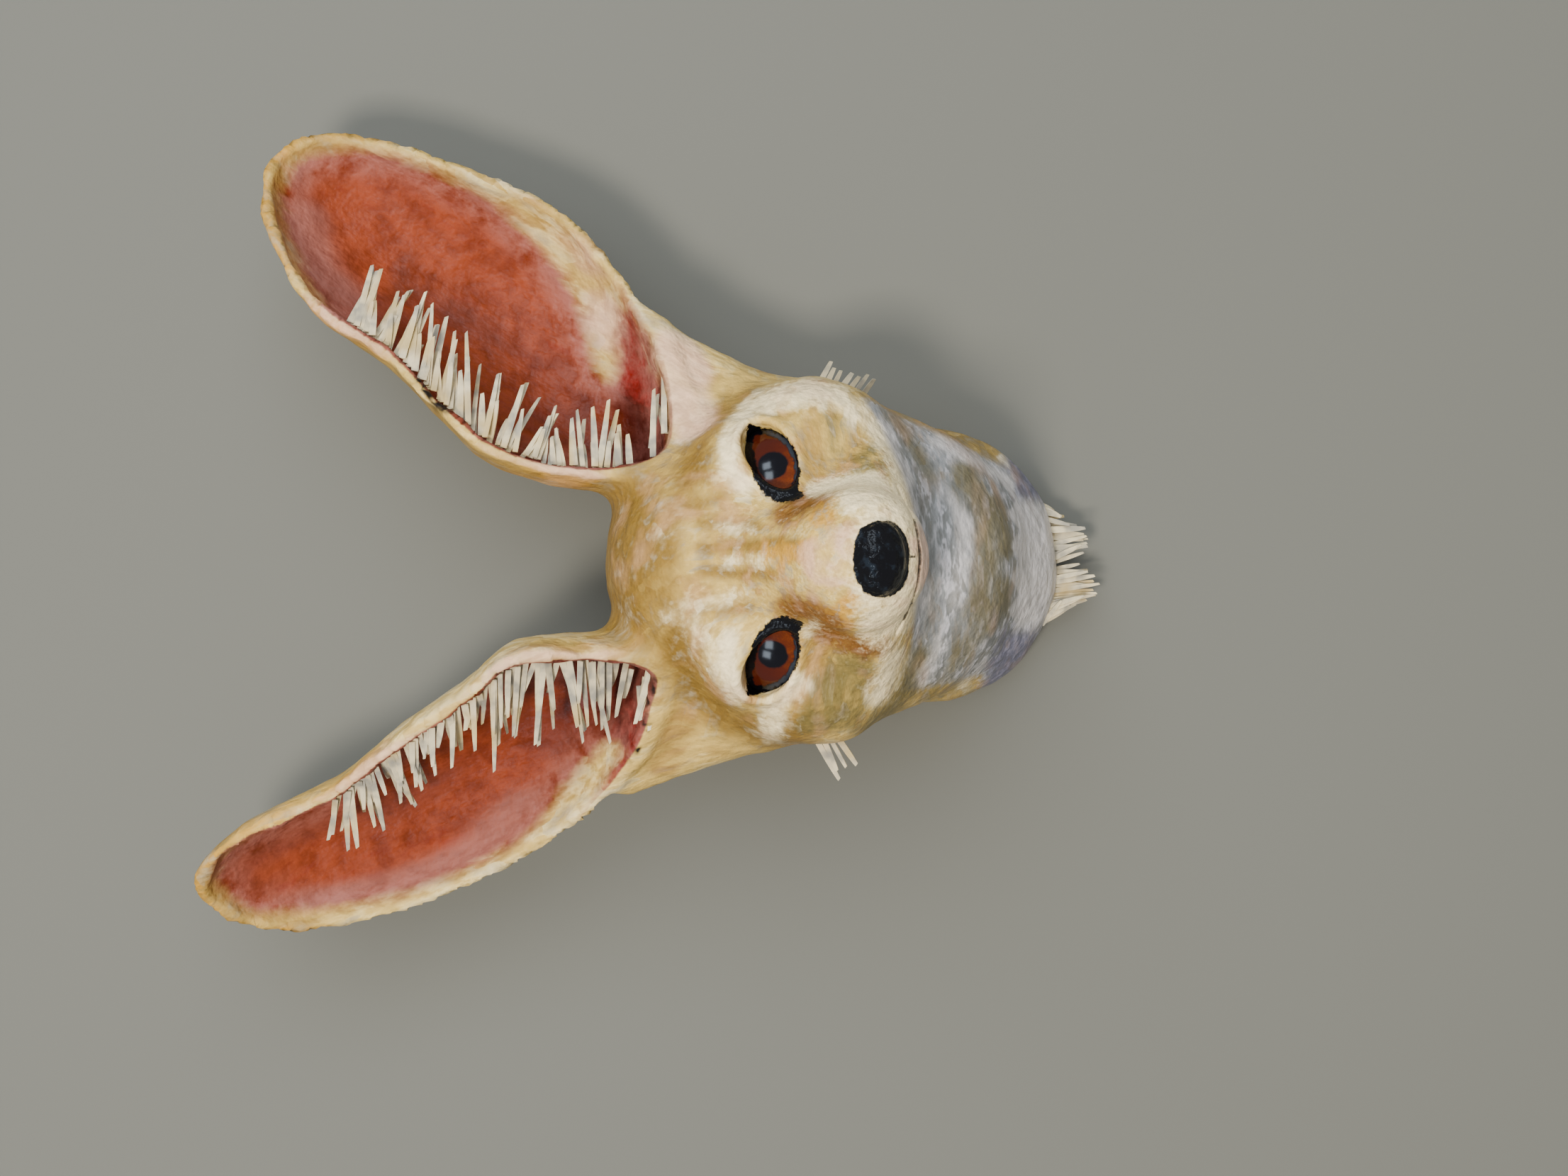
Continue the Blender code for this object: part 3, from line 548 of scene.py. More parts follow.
@dataclass
class Nose:
    """Black oval pad on the muzzle and the short line below it."""

    pad: Ball = Ball((0.0, -142.0, -24.6), (9.9, 6.2, 7.1), 1.2)
    centre: tuple[float, float] = (-0.3, -25.3)
    half_wide: float = 10.0
    half_high: float = 7.5
    line: tuple[tuple[float, float], ...] = ((0.3, -32.5), (0.4, -34.0))
    line_half_width: float = 0.45

    def edge(self, points: Points) -> Numbers:
        """Distances to the painted oval, in front of the muzzle only."""
        local = (points[:, (0, 2)] - self.centre) / (self.half_wide, self.half_high)
        round_off = (np.abs(local) ** 2.3).sum(axis=1) ** (1 / 2.3)
        oval = (round_off - 1.0) * self.half_high
        line = path_distance(points[:, (0, 2)], np.array(self.line)) - self.line_half_width
        return np.where(points[:, 1] < -118.0, np.minimum(oval, line), 30.0)


@dataclass
class Mouth:
    """Curved line across the front of the muzzle."""

    half_width: float = 20.0
    height: float = -36.0
    rise: float = 4.8
    groove: float = 0.8
    points: int = 33
    start_depth: float = -158.0

    def trace(self, skin: Callable[[Points], Numbers]) -> Points:
        """Walk onto the skin from the front, all along the line.

        Args:
            skin: Distances to the skin without the mouth.

        Returns:
            Points of the line on the skin.
        """
        across = np.linspace(-self.half_width, self.half_width, self.points)
        heights = self.height + self.rise * (across / self.half_width) ** 2
        line = np.stack([across, np.full(self.points, self.start_depth), heights], axis=1)
        for _ in range(80):
            line[:, 1] += np.clip(0.5 * skin(line), -0.5, 2.0)
        return line


@dataclass
class Skin:
    """Papier-mache skin of the head, neck and ears."""

    ears: tuple[Ear, Ear]
    eyes: tuple[Eye, Eye]
    nose: Nose
    mouth: Mouth
    skull: tuple = (
        Ball((0.0, -52.0, 9.0), (46.0, 54.0, 44.0), 1.0),
        Ball((0.0, -78.0, 16.0), (33.0, 35.0, 30.0), 14.0),
        Ball((31.0, -72.0, -8.0), (22.5, 32.0, 26.0), 16.0, True),
        Ball((21.0, -93.0, 12.0), (17.0, 17.0, 12.0), 9.0, True),
        RoundCone((0.0, -92.0, -5.0), (0.0, -124.0, -17.0), 25.0, 17.0, 12.0),
        RoundCone((0.0, -98.0, 10.0), (0.0, -130.0, -12.0), 13.0, 9.0, 8.0),
        Ball((0.0, -90.0, -24.0), (33.0, 34.0, 15.0), 10.0),
        Ball((0.0, -128.0, -21.5), (19.0, 17.5, 15.5), 6.0),
        Ball((0.0, -118.0, -30.0), (13.0, 15.0, 8.0), 5.0),
        RoundCone((0.0, -46.0, -25.0), (0.0, -12.0, -42.0), 46.0, 41.0, 12.0),
        Ball((-0.5, -8.0, -46.0), (43.5, 40.0, 41.0), 6.0),
    )
    flaps: tuple = (
        RoundCone((-44.0, -58.0, 14.0), (-65.0, -53.0, 46.0), 14.0, 4.5, 8.0),
        RoundCone((42.0, -58.0, 10.0), (66.0, -60.0, 37.0), 14.0, 5.0, 8.0),
    )
    roots: tuple = (
        RoundCone((28.0, -58.0, 12.0), (49.0, -57.0, 44.0), 25.0, 14.0, 10.0),
        RoundCone((-28.0, -58.0, 12.0), (-43.0, -60.0, 44.0), 25.0, 13.0, 10.0),
    )
    orbit_radii: tuple[float, float, float] = (17.5, 12.5, 11.0)
    orbit_sink: float = 10.6
    orbit_blend: float = 8.0
    ear_wall: float = 3.2
    ear_blend: float = 11.0
    rim_rounding: float = 1.6
    low: tuple[float, float, float] = (-116.0, -152.0, -92.0)
    high: tuple[float, float, float] = (134.0, 5.0, 179.0)
    step: float = 1.55
    block: int = 8
    lump_height: float = 0.6
    small_lump_height: float = 0.24
    rim_lump_height: float = 1.1

    def __post_init__(self) -> None:
        """Trace the mouth on the skin as it is without it."""
        self.mouth_line: Optional[Points] = None
        self.mouth_line = self.mouth.trace(self.forms)

    def forms(self, points: Points) -> Numbers:
        """Distances to the skull, face and neck, without the ears."""
        skin = self.skull[0].distance(points)
        for form in self.skull[1:]:
            for side in (1.0, -1.0) if form.paired else (1.0,):
                skin = smooth_union(skin, form.distance(points, side), form.blend)
        for eye in self.eyes:
            ball = Ball((0.0, 0.0, -self.orbit_sink), self.orbit_radii, self.orbit_blend)
            skin = smooth_union(skin, ball.distance(eye.local(points)), ball.blend)
        return smooth_union(skin, self.nose.pad.distance(points), self.nose.pad.blend)

    def distance(self, points: Points) -> Numbers:
        """Distances to the whole skin, with sockets, mouth and both ear hollows."""
        skin = self.forms(points)
        for flap in self.flaps:
            skin = smooth_union(skin, flap.distance(points), flap.blend)
        hollows = []
        for ear, root in zip(self.ears, self.roots):
            local = ear.local(points)
            hollow = ear.hollow(local)
            shell = smooth_cut(hollow - self.ear_wall, local[:, 2], self.rim_rounding)
            skin = smooth_union(skin, root.distance(points), root.blend)
            skin = smooth_union(skin, shell, self.ear_blend)
            hollows.append(hollow)
        for hollow in hollows:
            skin = smooth_cut(skin, hollow, self.rim_rounding)
        for eye in self.eyes:
            skin = eye.carve(skin, points)
        near = points[:, 1] < -85.0
        groove = np.full(len(points), 30.0)
        groove[near] = path_distance(points[near], self.mouth_line) - self.mouth.groove
        return smooth_cut(skin, groove, 0.6)

    def grid(self) -> Numbers:
        """Distances on a grid, worked out only in the blocks near the skin."""
        low = np.array(self.low)
        blocks = np.ceil((np.array(self.high) - low) / self.step / self.block).astype(int)
        size = self.step * self.block
        corners = np.stack(np.meshgrid(*[np.arange(n) for n in blocks], indexing="ij"), axis=-1)
        corners = corners.reshape(-1, 3)
        middle = self.distance(low + (corners + 0.5) * size - 0.5 * self.step)
        values = np.repeat(np.where(middle < 0.0, -9.0, 9.0), self.block**3)
        values = values.reshape(len(corners), -1)
        close = np.abs(middle) < size * 1.35 + 3.0
        inner = np.stack(np.meshgrid(*[np.arange(self.block)] * 3, indexing="ij"), axis=-1)
        inner = inner.reshape(-1, 3) * self.step
        places = (low + corners[close] * size)[:, None, :] + inner[None, :, :]
        places = places.reshape(-1, 3)
        parts = [self.distance(part) for part in np.array_split(places, 12)]
        values[close] = np.concatenate(parts).reshape(-1, self.block**3)
        values = values.reshape(*blocks, self.block, self.block, self.block)
        values = values.transpose(0, 3, 1, 4, 2, 5).reshape(blocks * self.block)
        depth = low[1] + self.step * np.arange(values.shape[1])
        return np.maximum(values, (depth - 4.0)[None, :, None])

    def settle(self, points: Points, rounds: int = 3) -> tuple[Points, Points]:
        """Move points near the skin onto it.

        Args:
            points: Points near the skin.
            rounds: How many steps to take.

        Returns:
            The points on the skin and the skin's directions there.
        """
        reach = 0.25
        shifts = np.eye(3) * reach
        for _ in range(rounds):
            here = self.distance(points)
            slope = np.stack([self.distance(points + shift) - here for shift in shifts], axis=1) / reach
            size = np.maximum((slope**2).sum(axis=1), 0.2)
            move = slope * (here / size)[:, None]
            points = points - np.clip(move, -0.8, 0.8)
        return points, slope / np.sqrt(size)[:, None]

    def build(self, material: bpy.types.Material) -> bpy.types.Object:
        """Polygonise the skin, refine the face, add the paper's lumps and flatten the back.

        Args:
            material: The painted finish.

        Returns:
            The skin.
        """
        values = close_pinches(soften(self.grid()))
        points, faces = surface_net(values, np.array(self.low), self.step)
        skin = make_object("fox_skin", points, faces, [material])
        for reach in (7.0, 3.5):
            self.refine(skin, reach)
        places = read_points(skin) / MM
        wall = places[:, 1] > -1.5
        settled, ways = self.settle(places)
        places = np.where(wall[:, None], places, settled)
        calm = ramp(np.minimum(self.nose.edge(places), self.eye_edge(places)), -1.0, 4.0)
        height = self.lump_height * lumps(places, 13.0) + self.small_lump_height * lumps(places, 4.5, 7.3)
        height = height * (0.25 + 0.75 * calm)
        for ear in self.ears:
            local = ear.local(places)
            beside_rim = ramp(np.abs(ear.flat_distance(local) - 1.6), 5.0, 1.5)
            on_rim = beside_rim * ramp(np.abs(local[:, 2]), 9.0, 2.0)
            height += self.rim_lump_height * lumps(places, 8.0, 3.1) * on_rim
        places = places + ways * (height * ~wall)[:, None]
        write_points(skin, places * MM)
        flatten_back(skin)
        skin.data.shade_smooth()
        return skin

    def eye_edge(self, points: Points) -> Numbers:
        """Flat distances to the nearer eye's outline."""
        first, second = (eye.edge(eye.local(points)) for eye in self.eyes)
        return np.minimum(first, second)

    def refine(self, skin: bpy.types.Object, reach: float) -> None:
        """Divide the faces near the eyes, the nose and the mouth.

        Args:
            skin: The mesh to refine.
            reach: How far from those features.
        """
        places = read_points(skin) / MM
        away = np.minimum(self.eye_edge(places), np.abs(self.nose.edge(places)) + 1.5)
        near = places[:, 1] < -85.0
        line = np.full(len(places), 30.0)
        line[near] = path_distance(places[near], self.mouth_line) + 2.0
        chosen = np.minimum(away, line) < reach
        work = bmesh.new()
        work.from_mesh(skin.data)
        work.edges.ensure_lookup_table()
        edges = [edge for edge in work.edges if all(chosen[vert.index] for vert in edge.verts)]
        bmesh.ops.subdivide_edges(work, edges=edges, cuts=1, use_grid_fill=True)
        work.to_mesh(skin.data)
        work.free()


@dataclass
class SkinPaint:
    """Where each paint lies on the skin, worked out point by point."""

    skin: Skin
    stroke_radius: float = 46.0
    stroke_drift: float = 0.24
    nose_tip: tuple[float, float, float] = (0.0, -112.0, -22.0)
    mouth_middle: float = -2.5
    mouth_reach: float = 13.8
    masks: dict[Tone, Numbers] = field(default_factory=dict)

    def add(self, tone: Tone, mask: Numbers) -> None:
        """Lay more of one paint over what is there."""
        self.masks[tone] = 1.0 - (1.0 - self.masks[tone]) * (1.0 - np.clip(mask, 0.0, 1.0))

    def dress(self, skin: bpy.types.Object) -> None:
        """Write the paints' masks, the edges and the brush directions on the skin.

        Args:
            skin: The finished mesh of the skin.
        """
        points = read_points(skin) / MM
        self.masks = {tone: np.zeros(len(points)) for tone in Tone}
        x, y, z = points.T
        head = self.skin.forms(points)
        on_ear = ramp(head, 2.0, 11.0)
        on_face = (1.0 - on_ear) * ramp(y, -6.0, -24.0)
        flat = points[:, (0, 2)]
        for dab in FACE_DABS:
            away = path_distance(flat, np.array(dab.path, dtype=float))
            self.add(dab.tone, dab.strength * ramp(away, dab.width * 1.15, 0.0) * on_face)
        self.paint_head(points, on_ear)
        ear_values, ear_edges = self.paint_ears(points, on_ear)
        for name in ("warm_tones", "pale_tones", "dark_tones", "ground_tones"):
            members = [self.masks[tone] for tone in Tone if tone.value[0] == name]
            add_vectors(skin, name, np.stack(members, axis=1))
        add_vectors(skin, "ear_tones", ear_values)
        add_vectors(skin, "ear_edges", ear_edges)
        line = np.full(len(points), 30.0)
        near = y < -85.0
        drawn = np.abs(self.skin.mouth_line[:, 0] - self.mouth_middle) < self.mouth_reach
        line[near] = path_distance(points[near], self.skin.mouth_line[drawn])
        lashes = [eye.lash_edge(eye.local(points)) for eye in self.skin.eyes]
        edges = np.stack([self.skin.nose.edge(points), np.minimum(*lashes), line], axis=1)
        add_vectors(skin, "edges", edges * MM)
        for name, values in self.strokes(points).items():
            add_vectors(skin, name, values * MM)
        on_neck = ramp(z - self.jaw(x), 2.0, -4.0)
        add_vectors(skin, "stroke_share", np.column_stack([on_neck, on_ear, on_face]))

    def jaw(self, across: Numbers) -> Numbers:
        """Height of the line where the face ends and the neck begins."""
        line = np.array(JAW)
        return np.interp(across, line[:, 0], line[:, 1])

    def paint_head(self, points: Points, on_ear: Numbers) -> None:
        """Paint the crown, cheeks, muzzle and neck.

        Args:
            points: The skin's points.
            on_ear: 1 on the ears, 0 on the head.
        """
        x, y, z = points.T
        off = 1.0 - on_ear
        crown = ramp(z, 26.0, 44.0) * ramp(np.abs(x), 44.0, 14.0)
        self.add(Tone.OCHRE, 0.75 * crown * off)
        self.add(Tone.TAN, 0.4 * ramp(z, 18.0, 32.0) * off * ramp(y, -110.0, -90.0))
        front = ramp(y, -104.0, -124.0)
        muzzle = np.hypot(x / 21.0, (z + 28.0) / 13.0)
        self.add(Tone.WHITE, 0.8 * ramp(muzzle, 1.3, 0.4) * front)
        bridge = ramp(z, -25.0, -12.0) * ramp(z, -2.0, -9.0) * ramp(np.abs(x + 1.0), 13.0, 4.0)
        self.add(Tone.PINK, 0.6 * bridge * front)
        self.add(Tone.PINK, 0.6 * ramp(z, -31.0, -35.0) * ramp(np.abs(x), 14.0, 6.0) * front)
        under = z - self.jaw(x)
        neck = ramp(under, 1.5, -2.0) * off
        edge_left = ramp(x + 0.1 * (z + 55.0), -33.0, -38.0) * ramp(z, -68.0, -58.0)
        edge_right = ramp(x - 0.35 * (z + 60.0), 31.0, 36.0) * ramp(z, -76.0, -64.0)
        self.add(Tone.NECK, neck * (1.0 - 0.85 * np.maximum(edge_left, edge_right)))
        zigzag = 4.5 * np.abs(((x / 9.5) % 1.0) - 0.5) * 2.0
        low_left = ramp(x, -14.0, -26.0) * ramp(z, -58.0, -68.0)
        low_right = ramp(x, 14.0, 24.0) * ramp(z, -66.0, -74.0)
        corners = np.maximum(low_left, low_right)
        self.add(Tone.WHITE, 0.95 * ramp(z + zigzag, -65.8, -67.6) * (1.0 - corners) * off)
        self.add(Tone.VIOLET, 0.9 * corners * off)
        self.add(Tone.TAN, 0.6 * edge_right * ramp(under, 0.0, -6.0) * off)
        self.add(Tone.OLIVE, 0.5 * np.maximum(edge_left, 0.7 * edge_right) * neck)
        self.add(Tone.TAN, 0.6 * ramp(y, -44.0, -15.0) * off * ramp(z, -40.0, -10.0))

    def paint_ears(self, points: Points, on_ear: Numbers) -> tuple[Points, Points]:
        """Paint the outside and the rims of the ears.

        Args:
            points: The skin's points.
            on_ear: 1 on the ears, 0 on the head.

        Returns:
            For each point the distance to the edge of the red lining, the share of deep red
            (painted shade in the hollow) and the share of pale streaks; and the distance to the
            hollow, the share of the inner side and the height along the ear.
        """
        red = np.full(len(points), 30.0)
        deep = np.zeros(len(points))
        streak = np.zeros(len(points))
        inner = np.full(len(points), 30.0)
        for ear in self.skin.ears:
            local = ear.local(points)
            across, up, back = local.T
            hollow = ear.hollow(local)
            flat = ear.flat_distance(local)
            near = (flat < 14.0) & (back > -6.0) & (back < 45.0)
            seen = ear.seen(local)
            lining = np.full(len(points), 30.0)
            lining[near] = loop_distance(*seen[near].T, smooth_loop(ear.red_outline))
            red = np.minimum(red, np.where(near, lining, 30.0))
            inner = np.minimum(inner, np.where(near, hollow - 1.3, 30.0))
            # Deep red here is painted shade: in the pocket at the ear's root, and low on the inner side of
            # the hollow under the strips.
            pocket = path_distance(seen, np.array(ear.pocket, dtype=float))
            deep = np.maximum(deep, ramp(pocket, 15.0, 3.0) * near)
            low_side_shade = ramp(seen[:, 1], 80.0, 5.0) * ramp(seen[:, 0], 12.0, -12.0)
            deep = np.maximum(deep, 0.55 * low_side_shade * near)
            for path in ear.streaks:
                away = path_distance(seen, np.array(path, dtype=float))
                streak = np.maximum(streak, ramp(away, 12.0, 0.0) * near)
            self.add(Tone.CRIMSON, 0.95 * ramp(pocket, 11.0, 3.0) * near * ramp(seen[:, 0], -8.0, 8.0))
            rim = near * ramp(np.abs(back), 2.6, 1.2) * ramp(hollow, 0.0, 1.0) * ramp(flat, 7.0, 4.5)
            medial = ramp(across, 4.0, -6.0)
            self.add(Tone.PINK, 0.5 * rim * medial * ramp(up, 112.0, 96.0) * ramp(up, -12.0, -2.0))
            self.add(Tone.YELLOW, 0.7 * rim * ramp(up, 96.0, 116.0))
            self.add(Tone.WHITE, 0.3 * rim * (1.0 - medial) * ramp(up, 100.0, 80.0))
            outside = on_ear * (hollow > 1.5) * (flat < 30.0)
            tip = near * ramp(up, 104.0, 124.0)
            self.add(Tone.TAN, 0.7 * tip)
            # Painted shade along the creases and splits, which the skin does not cut.
            for path in ear.creases:
                away = path_distance(seen, np.array(path, dtype=float))
                self.add(Tone.CREASE, ramp(away, 7.0, 3.0) * near)
            if ear.name == "left":
                self.add(Tone.OCHRE, 0.7 * outside * medial * ramp(back, 1.0, 4.0))
                self.add(Tone.YELLOW, 0.4 * outside * medial)
                in_low = ramp(hollow, 1.0, -0.5) * ramp(up, 60.0, 30.0)
                self.add(Tone.PINK, 0.5 * near * (1.0 - medial) * in_low)
            else:
                self.add(Tone.YELLOW, 0.7 * outside * medial * ramp(up, 62.0, 88.0))
                self.add(Tone.WHITE, 0.2 * outside * medial * ramp(up, 84.0, 55.0) * ramp(up, -6.0, 12.0))
                in_high = ramp(hollow, 0.6, -1.0) * ramp(up, 112.0, 90.0)
                self.add(Tone.WHITE, 0.35 * near * (1.0 - medial) * in_high)
        flap_left = ramp(path_distance(points, np.array(LEFT_FLAP)), 11.0, 4.0)
        self.add(Tone.PINK, 0.75 * flap_left)
        self.add(Tone.WHITE, 0.4 * flap_left)
        flap_right = ramp(path_distance(points, np.array(RIGHT_FLAP)), 9.0, 3.0)
        self.add(Tone.RUST, 0.3 * flap_right)
        self.add(Tone.TAN, 0.6 * flap_right)
        height = points[:, 2] * MM
        return np.stack([red * MM, deep, streak], axis=1), np.column_stack([inner * MM, on_ear, height])

    def strokes(self, points: Points) -> dict[str, Points]:
        """Coordinates that run slowly along the brush's way and fast across it.

        Args:
            points: The skin's points.

        Returns:
            Three numbers a point, for the face, the neck and the ears.
        """
        away = points - np.array(self.nose_tip)
        far = np.linalg.norm(away, axis=1)
        drift = far[:, None] * np.array((0.9, 0.6, 1.0)) * self.stroke_drift
        first, second = (ear.local(points) * (1.0, 0.22, 0.7) for ear in self.skin.ears)
        x, y, z = points.T
        return {
            "stroke_face": away / far[:, None] * self.stroke_radius + drift,
            "stroke_neck": np.column_stack([x * 0.3 - z * 0.1, y * 0.4, z]),
            "stroke_ear": np.where((x > 0.0)[:, None], first, second + 90.0),
        }


@dataclass
class PaperStrips:
    """Cut paper strips glued in a row: one node tree bends a strip from every root."""

    name: str
    width: float = 2.1
    thickness: float = 0.35
    tip_share: float = 0.62
    segments: int = 8
    seed: int = 3
    width_spread: float = 0.22
    twist: float = 0.28
    roots: list[Points] = field(default_factory=list)
    ways: list[Points] = field(default_factory=list)
    normals: list[Points] = field(default_factory=list)
    curls: list[float] = field(default_factory=list)

    def add(self, root: Points, way: Points, normal: Points, curl: float) -> None:
        """Add one strip: its root, its way to the tip, its flat side and how far it curls."""
        self.roots.append(root)
        self.ways.append(way)
        self.normals.append(unit(normal))
        self.curls.append(curl)

    def tree(self, material: bpy.types.Material) -> bpy.types.NodeTree:
        """Node tree that puts a strip on each root and bends it.

        Args:
            material: Not used.

        Returns:
            The tree, with its sizes as named inputs.
        """
        tree = bpy.data.node_groups.new(self.name + "_strips", "GeometryNodeTree")
        face = tree.interface
        face.new_socket("Geometry", in_out="INPUT", socket_type="NodeSocketGeometry")
        for label in ("Width", "Thickness", "Tip Share", "Width Spread", "Twist"):
            face.new_socket(label, in_out="INPUT", socket_type="NodeSocketFloat")
        for label in ("Segments", "Seed"):
            face.new_socket(label, in_out="INPUT", socket_type="NodeSocketInt")
        face.new_socket("Material", in_out="INPUT", socket_type="NodeSocketMaterial")
        face.new_socket("Geometry", in_out="OUTPUT", socket_type="NodeSocketGeometry")
        build = TreeBuilder(tree)
        given = build.node("NodeGroupInput")
        cube = build.node("GeometryNodeMeshCube", {"Vertices Y": 2, "Vertices Z": 2})
        build.link(given.outputs["Segments"], cube.inputs["Vertices X"])
        place = build.node("GeometryNodeInputPosition").outputs[0]
        split = build.node("ShaderNodeSeparateXYZ", {0: place})
        share = build.math("ADD", split.outputs["X"], 0.5)
        narrow = build.math("MULTIPLY", share, build.math("MULTIPLY", share, share))
        taper = build.node("ShaderNodeMapRange", {"Value": narrow, "To Min": 1.0})
        build.link(given.outputs["Tip Share"], taper.inputs["To Max"])
        flank = build.math("MULTIPLY", split.outputs["Y"], taper.outputs[0])
        slant = build.math("MULTIPLY_ADD", build.math("MULTIPLY", flank, narrow), 0.06, share)
        shaped = build.node("ShaderNodeCombineXYZ", {"X": slant, "Y": flank, "Z": split.outputs["Z"]})
        strip = build.node(
            "GeometryNodeSetPosition", {"Geometry": cube.outputs["Mesh"], "Position": shaped.outputs[0]}
        )
        keep = build.node("GeometryNodeStoreNamedAttribute", {"Name": "share", "Value": share})
        build.link(strip.outputs[0], keep.inputs["Geometry"])
        flat = build.node("GeometryNodeStoreNamedAttribute", {"Name": "flank", "Value": flank})
        build.link(keep.outputs[0], flat.inputs["Geometry"])
        way = build.attribute("way", "FLOAT_VECTOR")
        normal = build.attribute("flat_side", "FLOAT_VECTOR")
        each = build.node("GeometryNodeInputIndex").outputs[0]
        twist = build.node("FunctionNodeRandomValue", {"ID": each})
        twist.data_type = "FLOAT"
        build.link(given.outputs["Seed"], twist.inputs["Seed"])
        build.link(build.math("MULTIPLY", given.outputs["Twist"], -1.0), twist.inputs[2])
        build.link(given.outputs["Twist"], twist.inputs[3])
        turn = build.node("FunctionNodeAxesToRotation")
        turn.primary_axis = "X"
        turn.secondary_axis = "Z"
        build.link(way, turn.inputs[0])
        build.link(normal, turn.inputs[1])
        roll = build.node("FunctionNodeAxisAngleToRotation", {"Axis": (1.0, 0.0, 0.0)})
        build.link(twist.outputs[1], roll.inputs["Angle"])
        facing = build.node("FunctionNodeRotateRotation", {0: turn.outputs[0], 1: roll.outputs[0]})
        facing.rotation_space = "LOCAL"
        length = build.node("ShaderNodeVectorMath", {0: way})
        length.operation = "LENGTH"
        spread = build.node("FunctionNodeRandomValue", {"ID": each})
        spread.data_type = "FLOAT"
        build.link(build.math("ADD", given.outputs["Seed"], 11.0), spread.inputs["Seed"])
        build.link(build.math("SUBTRACT", 1.0, given.outputs["Width Spread"]), spread.inputs[2])
        build.link(build.math("ADD", 1.0, given.outputs["Width Spread"]), spread.inputs[3])
        wide = build.math("MULTIPLY", given.outputs["Width"], spread.outputs[1])
        scale = build.node("ShaderNodeCombineXYZ", {"X": length.outputs["Value"], "Y": wide})
        build.link(given.outputs["Thickness"], scale.inputs["Z"])
        copies = build.node("GeometryNodeInstanceOnPoints")
        build.link(given.outputs["Geometry"], copies.inputs["Points"])
        build.link(flat.outputs[0], copies.inputs["Instance"])
        build.link(facing.outputs[0], copies.inputs["Rotation"])
        build.link(scale.outputs[0], copies.inputs["Scale"])
        real = build.node("GeometryNodeRealizeInstances", {0: copies.outputs[0]})
        along = build.attribute("share", "FLOAT")
        rise = build.math("MULTIPLY", build.attribute("curl", "FLOAT"), build.math("POWER", along, 2.2))
        shift = build.node("ShaderNodeVectorMath", {0: build.attribute("flat_side", "FLOAT_VECTOR")})
        shift.operation = "SCALE"
        build.link(rise, shift.inputs["Scale"])
        bent = build.node("GeometryNodeSetPosition", {"Geometry": real.outputs[0]})
        build.link(shift.outputs[0], bent.inputs["Offset"])
        paint = build.node("GeometryNodeSetMaterial", {"Geometry": bent.outputs[0]})
        build.link(given.outputs["Material"], paint.inputs["Material"])
        final = build.node("NodeGroupOutput")
        build.link(paint.outputs[0], final.inputs[0])
        return tree

    def build(self, material: bpy.types.Material) -> bpy.types.Object:
        """Make the strips as one plain mesh.

        Args:
            material: The strips' finish.

        Returns:
            The strips.
        """
        guide = make_object(self.name + "_roots", np.array(self.roots), [], [material])
        add_vectors(guide, "way", np.array(self.ways) * MM)
        add_vectors(guide, "flat_side", np.array(self.normals))
        curl = guide.data.attributes.new("curl", "FLOAT", "POINT")
        curl.data.foreach_set("value", np.array(self.curls, dtype=np.float32) * MM)
        modifier = guide.modifiers.new("strips", "NODES")
        modifier.node_group = self.tree(material)
        values = {
            "Width": self.width * MM,
            "Thickness": self.thickness * MM,
            "Tip Share": self.tip_share,
            "Width Spread": self.width_spread,
            "Twist": self.twist,
            "Segments": self.segments + 1,
            "Seed": self.seed,
            "Material": material,
        }
        for item in modifier.node_group.interface.items_tree:
            if item.item_type == "SOCKET" and item.in_out == "INPUT" and item.name in values:
                modifier[item.identifier] = values[item.name]
        graph = bpy.context.evaluated_depsgraph_get()
        mesh = bpy.data.meshes.new_from_object(guide.evaluated_get(graph))
        mesh.name = self.name
        strips = bpy.data.objects.new(self.name, mesh)
        bpy.context.scene.collection.objects.link(strips)
        bpy.data.objects.remove(guide)
        return strips


